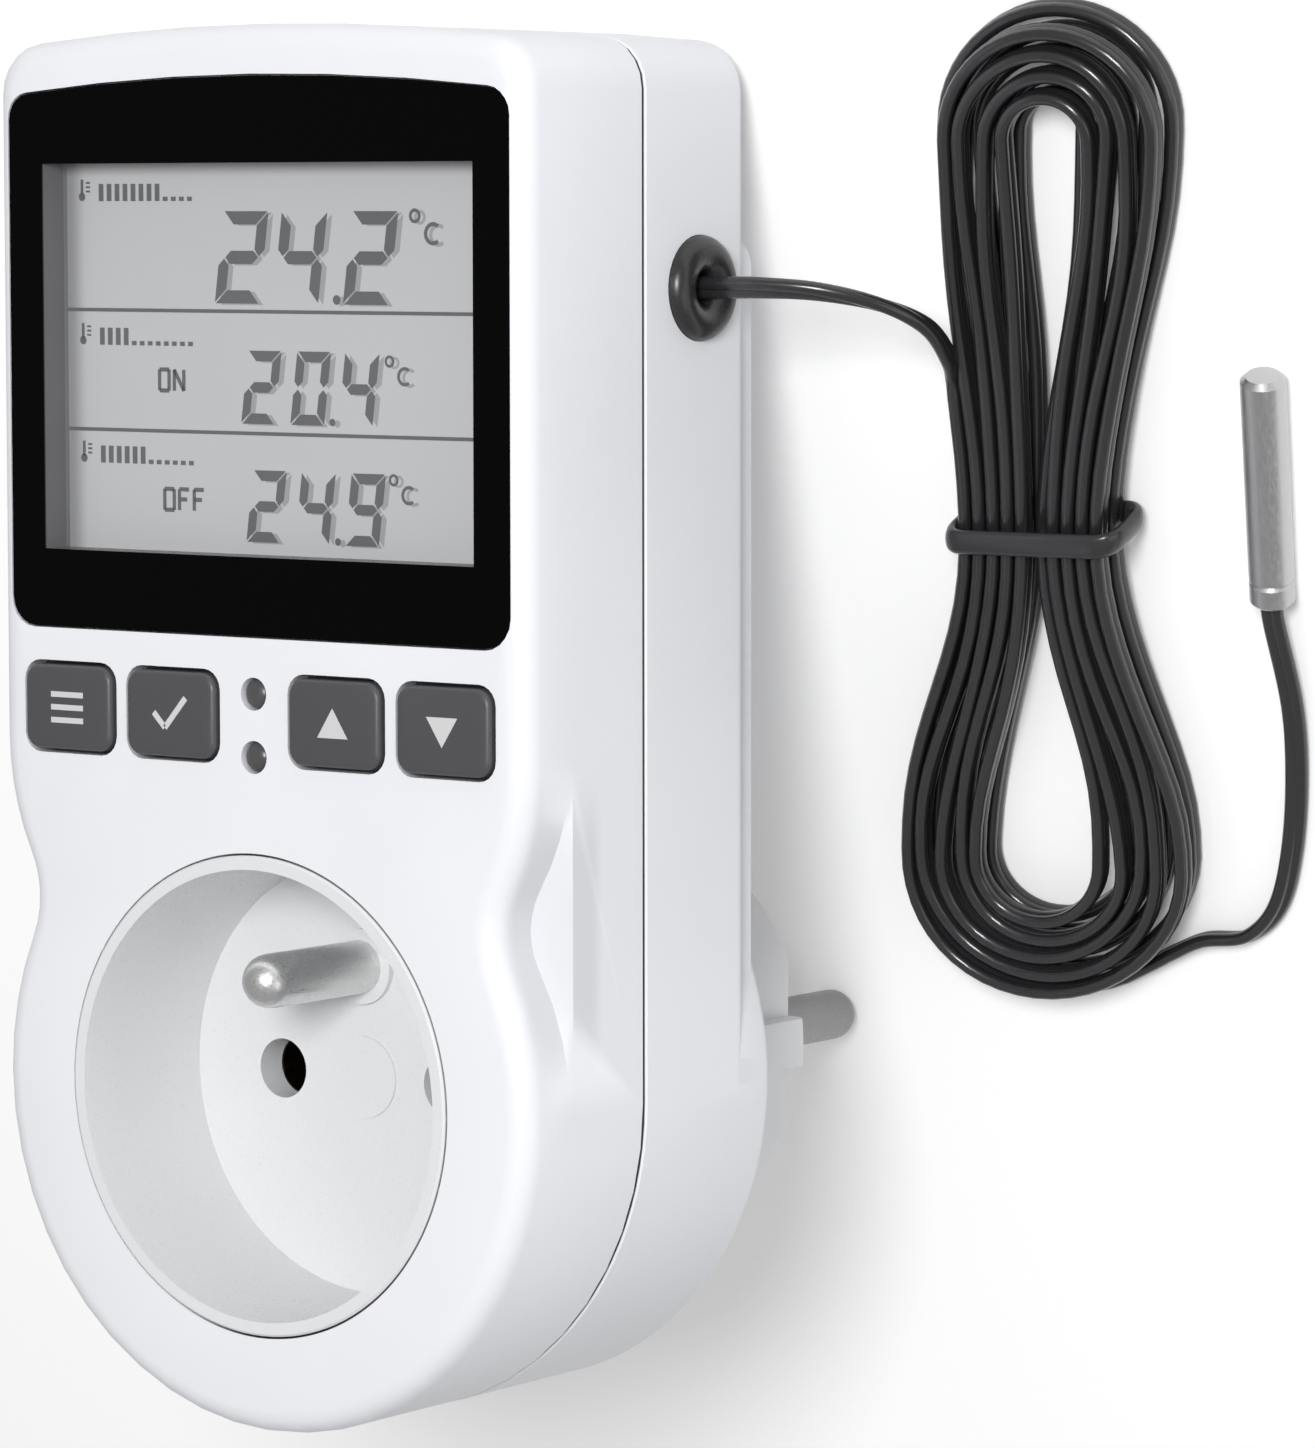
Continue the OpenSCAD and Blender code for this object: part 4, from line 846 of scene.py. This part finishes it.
def make_display():
    dark = []
    for row in ROWS:
        width, height = row["size"]
        dark += number(row["digits"], row["starts"], row["low"], width, height, row["t"],
                       row["slant"])
        dark.append(disc(*row["dot"]))
        dark += celsius(*row["unit"])
    # Painted shadows of the digits, the dot and the units, as shifted copies.
    shade = [moved(o, *SHADE_SHIFT) for o in dark]
    for label_z, row in zip(LABEL_Z, ROWS):
        dark += thermometer(LABEL_X + 0.6, label_z, LABEL_H)
        dark += level_bar(LABEL_X + 2.6, label_z, LABEL_H * 0.8, LEVEL_CELLS, row["full"])
    dark += word_on(*WORD_ON_AT, WORD_H)
    dark += word_off(*WORD_OFF_AT, WORD_H)
    low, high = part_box("lcd_glass")
    half = (high.x - low.x) / 2 / MM - LINE_INSET
    lines = [[(-half, z), (-half, z + LINE_T), (half, z + LINE_T), (half, z)] for z in LINES_Z]
    marks = prisms("display_marks", dark, GLASS_Y - PRINT_T, GLASS_Y - PRINT_T / 2, DIGIT)
    shades = prisms("display_shades", shade, GLASS_Y - SHADE_T, GLASS_Y, DIGIT_SHADE)
    rules = prisms("display_rules", lines, GLASS_Y - RULE_T, GLASS_Y, DIGIT)


make_display()


# Key signs

KEY_Z = 33.2
KEY_FACE = -0.5
KEY_X = {"mode": -21.35, "set": -9.3, "up": 9.3, "down": 21.35}
SIGN_T = 0.03
BAR_HALF = 1.9
BAR_T = 0.5
BAR_STEP = 1.15
TICK_T = 0.55


def sign_mode(x):
    """Three bars, the usual sign of a menu."""
    return [bar_between((x - BAR_HALF, KEY_Z + dz), (x + BAR_HALF, KEY_Z + dz), BAR_T)
            for dz in (-BAR_STEP, 0, BAR_STEP)]


def sign_set(x):
    """A tick."""
    return stroke([(x - 1.8, KEY_Z + 0.1), (x - 0.5, KEY_Z - 1.2), (x + 1.9, KEY_Z + 1.5)],
                  TICK_T)


def sign_up(x, way=1):
    """A triangle that points up or down."""
    return [[(x - 1.7, KEY_Z - 1.2 * way), (x + 1.7, KEY_Z - 1.2 * way), (x, KEY_Z + 1.4 * way)]]


def make_key_signs():
    signs = {"mode": sign_mode(KEY_X["mode"]), "set": sign_set(KEY_X["set"]),
             "up": sign_up(KEY_X["up"]), "down": sign_up(KEY_X["down"], -1)}
    for key, outlines in signs.items():
        sign = prisms(key + "_sign", outlines, KEY_FACE - SIGN_T, KEY_FACE + SIGN_T, KEY_PRINT,
                      key + "_button")


make_key_signs()


# Floor and light

FLOOR_DROP = 0.00005
FLOOR_HALF = 3
FLOOR_CELLS = 8
FLOOR_PALE = (0.8, 0.8, 0.8)           # as other rays meet it
FLOOR_SEEN = (1.0, 1.0, 1.0)           # as the camera sees it
GLOW_RANGE = (0.2, 0.9, 0.14, 0.75)    # from and to in metres, then the glow at each
WORLD_LIGHT = 0.40
LAMP_AIM = (0, 0, 0.03)
LAMPS = {"key": ((0.45, 0.56, 0.73), 0.3, 7.0), "side": ((1.1, -0.1, 0.35), 0.7, 1.2),
         "front": ((0.1, 0.75, 1.0), 0.6, 0.5)}    # place, size and power in watts


def floor_material():
    """Pale floor that the camera, gloss and glass see as white where no shadow falls."""
    m = bpy.data.materials.new("floor")
    m.use_nodes = True
    tree = m.node_tree
    tree.nodes.clear()
    out = tree.nodes.new("ShaderNodeOutputMaterial")
    diffuse = tree.nodes.new("ShaderNodeBsdfDiffuse")
    glow = tree.nodes.new("ShaderNodeEmission")
    ray = tree.nodes.new("ShaderNodeLightPath")
    seen = sum_up(tree, "MAXIMUM", ray.outputs["Is Camera Ray"], ray.outputs["Is Glossy Ray"])
    seen = sum_up(tree, "MAXIMUM", seen, ray.outputs["Is Transmission Ray"])
    pale = blend_colour(tree, seen, FLOOR_PALE, FLOOR_SEEN)
    add = tree.nodes.new("ShaderNodeAddShader")
    tree.links.new(pale, diffuse.inputs["Color"])
    spot = tree.nodes.new("ShaderNodeNewGeometry")
    away = tree.nodes.new("ShaderNodeVectorMath")
    away.operation = "LENGTH"
    tree.links.new(spot.outputs["Position"], away.inputs[0])
    level = tree.nodes.new("ShaderNodeMapRange")
    for socket, value in zip(("From Min", "From Max", "To Min", "To Max"), GLOW_RANGE):
        level.inputs[socket].default_value = value
    tree.links.new(away.outputs["Value"], level.inputs["Value"])
    tree.links.new(sum_up(tree, "MULTIPLY", seen, level.outputs["Result"]),
                   glow.inputs["Strength"])
    tree.links.new(diffuse.outputs[0], add.inputs[0])
    tree.links.new(glow.outputs[0], add.inputs[1])
    tree.links.new(add.outputs[0], out.inputs["Surface"])
    return m


def make_floor():
    bm = bmesh.new()
    bmesh.ops.create_grid(bm, x_segments=FLOOR_CELLS, y_segments=FLOOR_CELLS, size=FLOOR_HALF)
    mesh = bpy.data.meshes.new("floor")
    bm.to_mesh(mesh)
    bm.free()
    floor = bpy.data.objects.new("floor", mesh)
    floor.location.z = -FLOOR_DROP
    mesh.materials.append(floor_material())
    bpy.context.scene.collection.objects.link(floor)


def add_lamp(name, at, size, power):
    data = bpy.data.lights.new(name, "AREA")
    data.shape = "DISK"
    data.size = size
    data.energy = power
    lamp = bpy.data.objects.new(name, data)
    lamp.location = at
    lamp.rotation_mode = "QUATERNION"
    lamp.rotation_quaternion = (Vector(LAMP_AIM) - Vector(at)).to_track_quat("-Z", "Y")
    bpy.context.scene.collection.objects.link(lamp)


def make_world():
    """White where the camera sees it, directly or through glass, and dimmer as a light."""
    world = bpy.data.worlds.new("world")
    world.use_nodes = True
    tree = world.node_tree
    back = tree.nodes["Background"]
    back.inputs["Color"].default_value = (1, 1, 1, 1)
    ray = tree.nodes.new("ShaderNodeLightPath")
    seen = sum_up(tree, "MAXIMUM", ray.outputs["Is Camera Ray"],
                  ray.outputs["Is Transmission Ray"])
    level = tree.nodes.new("ShaderNodeMapRange")
    level.inputs["To Min"].default_value = WORLD_LIGHT
    level.inputs["To Max"].default_value = 1.0
    tree.links.new(seen, level.inputs["Value"])
    tree.links.new(level.outputs["Result"], back.inputs["Strength"])
    bpy.context.scene.world = world


make_floor()
make_world()
for lamp_name, lamp_facts in LAMPS.items():
    add_lamp(lamp_name, *lamp_facts)
bpy.context.scene.view_settings.view_transform = "Standard"
